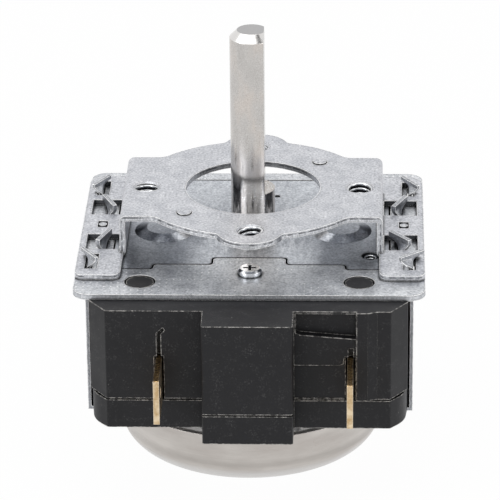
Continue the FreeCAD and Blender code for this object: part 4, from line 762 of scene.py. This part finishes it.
finishes = {
    "mounting_bracket": bracketZinc, "top_plate": plateZinc, "movement_frame": frameZinc,
    "side_frame": frameZinc, "movement_plate": movementZinc, "spindle": spindleNickel,
    "plate_screw": screwSteel, "bell_screw": screwSteel, "bell_post": screwSteel,
    "hammer_stud": screwSteel, "hammer_arm": screwSteel, "hammer_head": screwSteel,
    "plate_pillars": screwSteel, "spring_post": screwSteel, "housing_body": housingPhenolic,
    "housing_cover": housingPhenolic, "terminal_left": bladeBrass, "terminal_right": bladeBrass,
    "fixed_contact": bladeBrass, "main_wheel": wheelBrass, "second_wheel": wheelBrass,
    "third_wheel": wheelBrass, "escape_wheel": wheelBrass, "balance_bar": wheelBrass,
    "contact_leaf": leafBronze, "fixed_contact_rivet": contactSilver,
    "moving_contact_rivet": contactSilver, "mainspring": springSteel, "second_pinion": arborSteel,
    "third_pinion": arborSteel, "escape_pinion": arborSteel, "balance_staff": arborSteel,
    "switch_cam": camAcetal, "bell": bellStainless,
}
for name, finish in finishes.items():
    for place in nodes[name].material_slots:
        place.material = finish
print("nodes finished")


# small tools for pieces
ringFaces = {
    "round": 36,
    "across": 10,
}


def addRing(place, lean, turn, radius, wire):
    x, y, z = place
    bpy.ops.mesh.primitive_torus_add(
        location=(x * mm, y * mm, z * mm), rotation=(lean, 0, turn),
        major_segments=ringFaces["round"], minor_segments=ringFaces["across"],
        major_radius=radius * mm, minor_radius=wire * mm)
    return bpy.context.object


def joinPieces(parts, name, material):
    bpy.ops.object.select_all(action="DESELECT")
    for part in parts:
        part.select_set(True)
    bpy.context.view_layer.objects.active = parts[0]
    bpy.ops.object.join()
    item = bpy.context.object
    item.name = name
    bpy.ops.object.transform_apply(location=True, rotation=True, scale=True)
    item.data.materials.clear()
    item.data.materials.append(material)
    return item


# thread ridges in the four fixing holes: one tilted ring for each turn
threads = {
    "circle": 14.6,
    "holes": 4,
    "radius": 1.68,
    "ridge": 0.21,
    "pitch": 0.68,
    "turns": 3,
    "top": -0.40,
}


def makeThreads(values):
    lean = math.atan(values["pitch"] / (math.pi * values["radius"]))
    rings = []
    for hole in range(values["holes"]):
        turn = math.radians(360 / values["holes"] * hole)
        x, y = values["circle"] * math.cos(turn), values["circle"] * math.sin(turn)
        for k in range(values["turns"]):
            z = values["top"] - k * values["pitch"]
            rings.append(addRing((x, y, z), lean, turn, values["radius"], values["ridge"]))
    item = joinPieces(rings, "fixing_hole_threads", screwSteel)
    bpy.ops.object.shade_smooth()
    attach(item, "frame")
    bpy.ops.object.select_all(action="DESELECT")


makeThreads(threads)
print("threads made")


# half-pierced pips in the ring's two small holes, pressed up a little over its face
pips = {
    "places": bracketPlaces["pipHoles"],
    "radius": 0.93,
    "top": 0.14,
    "tall": 0.8,
    "crown": 0.06,
    "crownInset": 0.3,
    "sides": 40,
}


def selectFacesUp(item):
    for face in item.data.polygons:
        face.select = face.normal.z > 0.9
    for edge in item.data.edges:
        edge.select = False
    for point in item.data.vertices:
        point.select = False
    for face in item.data.polygons:
        if face.select:
            for corner in face.vertices:
                item.data.vertices[corner].select = True
    bpy.ops.object.mode_set(mode="EDIT")
    bpy.ops.mesh.select_mode(type="FACE")


def makePips(values):
    made = []
    for x, y in values["places"]:
        middle = values["top"] - values["tall"] / 2
        bpy.ops.mesh.primitive_cylinder_add(
            vertices=values["sides"], radius=values["radius"] * mm, depth=values["tall"] * mm,
            location=(x * mm, y * mm, middle * mm))
        item = bpy.context.object
        selectFacesUp(item)
        bpy.ops.mesh.inset(thickness=values["crownInset"] * values["radius"] * mm)
        bpy.ops.transform.translate(value=(0, 0, values["crown"] * mm))
        bpy.ops.object.mode_set(mode="OBJECT")
        made.append(item)
    item = joinPieces(made, "ring_pips", bracketZinc)
    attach(item, "frame")
    bpy.ops.object.select_all(action="DESELECT")


makePips(pips)
print("pips made")


# the coiled end of a wire that shows in the hole beside the right leg
coil = {
    "place": (16.1, -9.3),
    "radius": 0.78,
    "wire": 0.15,
    "top": -6.45,
    "pitch": 0.42,
    "turns": 2,
}


def makeCoil(values):
    lean = math.atan(values["pitch"] / (2 * math.pi * values["radius"]))
    rings = []
    for k in range(values["turns"]):
        z = values["top"] - k * values["pitch"]
        rings.append(addRing((*values["place"], z), lean, 0, values["radius"], values["wire"]))
    item = joinPieces(rings, "coil_end", screwSteel)
    bpy.ops.object.shade_smooth()
    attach(item, "frame")
    bpy.ops.object.select_all(action="DESELECT")


makeCoil(coil)
print("coil made")


def seenDirectly(tree):
    # 1 for what the eye, metal and glass see, 0 for what only lights the part
    path = addNode(tree, "ShaderNodeLightPath")
    seen = maths(tree, "MAXIMUM", path.outputs["Is Camera Ray"], path.outputs["Is Glossy Ray"])
    return maths(tree, "MAXIMUM", seen, path.outputs["Is Transmission Ray"])


# floor: pale and plain, nearly white to the camera, with the part's soft shadow on it
floorSettings = {
    "level": -36.85,
    "gap": 0.02,
    "size": 6000,
    "colour": "#F2F2F2",
    "shown": 0.97,
}


def makeFloor(values):
    level = values["level"] - values["gap"]
    bpy.ops.mesh.primitive_plane_add(size=values["size"] * mm, location=(0, 0, level * mm))
    floor = bpy.context.object
    floor.name = "studioFloor"
    item, tree = newMaterial("palePaper")
    # paper under studio light: white to the eye, and in what metal and glass show of it
    share = times(tree, seenDirectly(tree), values["shown"])
    paper = addNode(tree, "ShaderNodeBsdfDiffuse", {"Color": hexColour(values["colour"])})
    glow = addNode(tree, "ShaderNodeEmission", {"Color": (1, 1, 1, 1), "Strength": 1.0})
    mix = addNode(tree, "ShaderNodeMixShader",
                  links={0: share, 1: paper.outputs["BSDF"], 2: glow.outputs["Emission"]})
    # from underneath, the part shows through the paper
    side = addNode(tree, "ShaderNodeNewGeometry")
    clear = addNode(tree, "ShaderNodeBsdfTransparent")
    both = addNode(tree, "ShaderNodeMixShader",
                   links={0: side.outputs["Backfacing"], 1: mix.outputs["Shader"],
                          2: clear.outputs["BSDF"]})
    showSurface(tree, both.outputs["Shader"])
    floor.data.materials.append(item)


makeFloor(floorSettings)
print("floor made")


# light: a white room, a large soft lamp above, two fills and a dark card for the metal to mirror
lightSettings = {
    "room": 0.55,
    "aim": (0, 0, -10),
    "card": {"place": (235, -180, 500), "wide": 300, "deep": 130, "colour": "#0A0A0A"},
    "lamps": (
        {"name": "topLamp", "place": (-120, -60, 520), "size": 720, "power": 1.64},
        {"name": "leftLamp", "place": (-420, -330, 180), "size": 300, "power": 0.9},
        {"name": "rightLamp", "place": (460, -260, 160), "size": 300, "power": 0.7},
    ),
}


def makeLight(values):
    world = bpy.data.worlds.new("whiteRoom")
    world.use_nodes = True
    tree = world.node_tree
    tree.nodes.clear()
    strength = span(tree, seenDirectly(tree), 0.0, 1.0, values["room"], 1.0)
    room = addNode(tree, "ShaderNodeBackground", {"Color": (1, 1, 1, 1)}, {"Strength": strength})
    addNode(tree, "ShaderNodeOutputWorld", links={"Surface": room.outputs["Background"]})
    bpy.context.scene.world = world
    for lamp in values["lamps"]:
        place = Vector(lamp["place"]) * mm
        bpy.ops.object.light_add(type="AREA", location=place)
        item = bpy.context.object
        item.name = lamp["name"]
        item.data.energy = lamp["power"]
        item.data.size = lamp["size"] * mm
        item.rotation_mode = "QUATERNION"
        item.rotation_quaternion = (Vector(values["aim"]) * mm - place).to_track_quat("-Z", "Y")


def makeCard(values):
    # a dark card above the front right, seen only as a reflection in polished metal
    place = Vector(values["place"]) * mm
    bpy.ops.mesh.primitive_plane_add(size=1, location=place)
    card = bpy.context.object
    card.name = "darkCard"
    card.scale = (values["wide"] * mm, values["deep"] * mm, 1)
    card.rotation_mode = "QUATERNION"
    card.rotation_quaternion = (-place).to_track_quat("-Z", "Y")
    card.visible_camera = card.visible_diffuse = False
    card.visible_transmission = card.visible_shadow = False
    item, tree = newMaterial("darkPaper")
    paper = addNode(tree, "ShaderNodeBsdfDiffuse", {"Color": hexColour(values["colour"])})
    showSurface(tree, paper.outputs["BSDF"])
    card.data.materials.append(item)


makeLight(lightSettings)
makeCard(lightSettings["card"])
bpy.context.scene.view_settings.view_transform = "Standard"
print("light set")
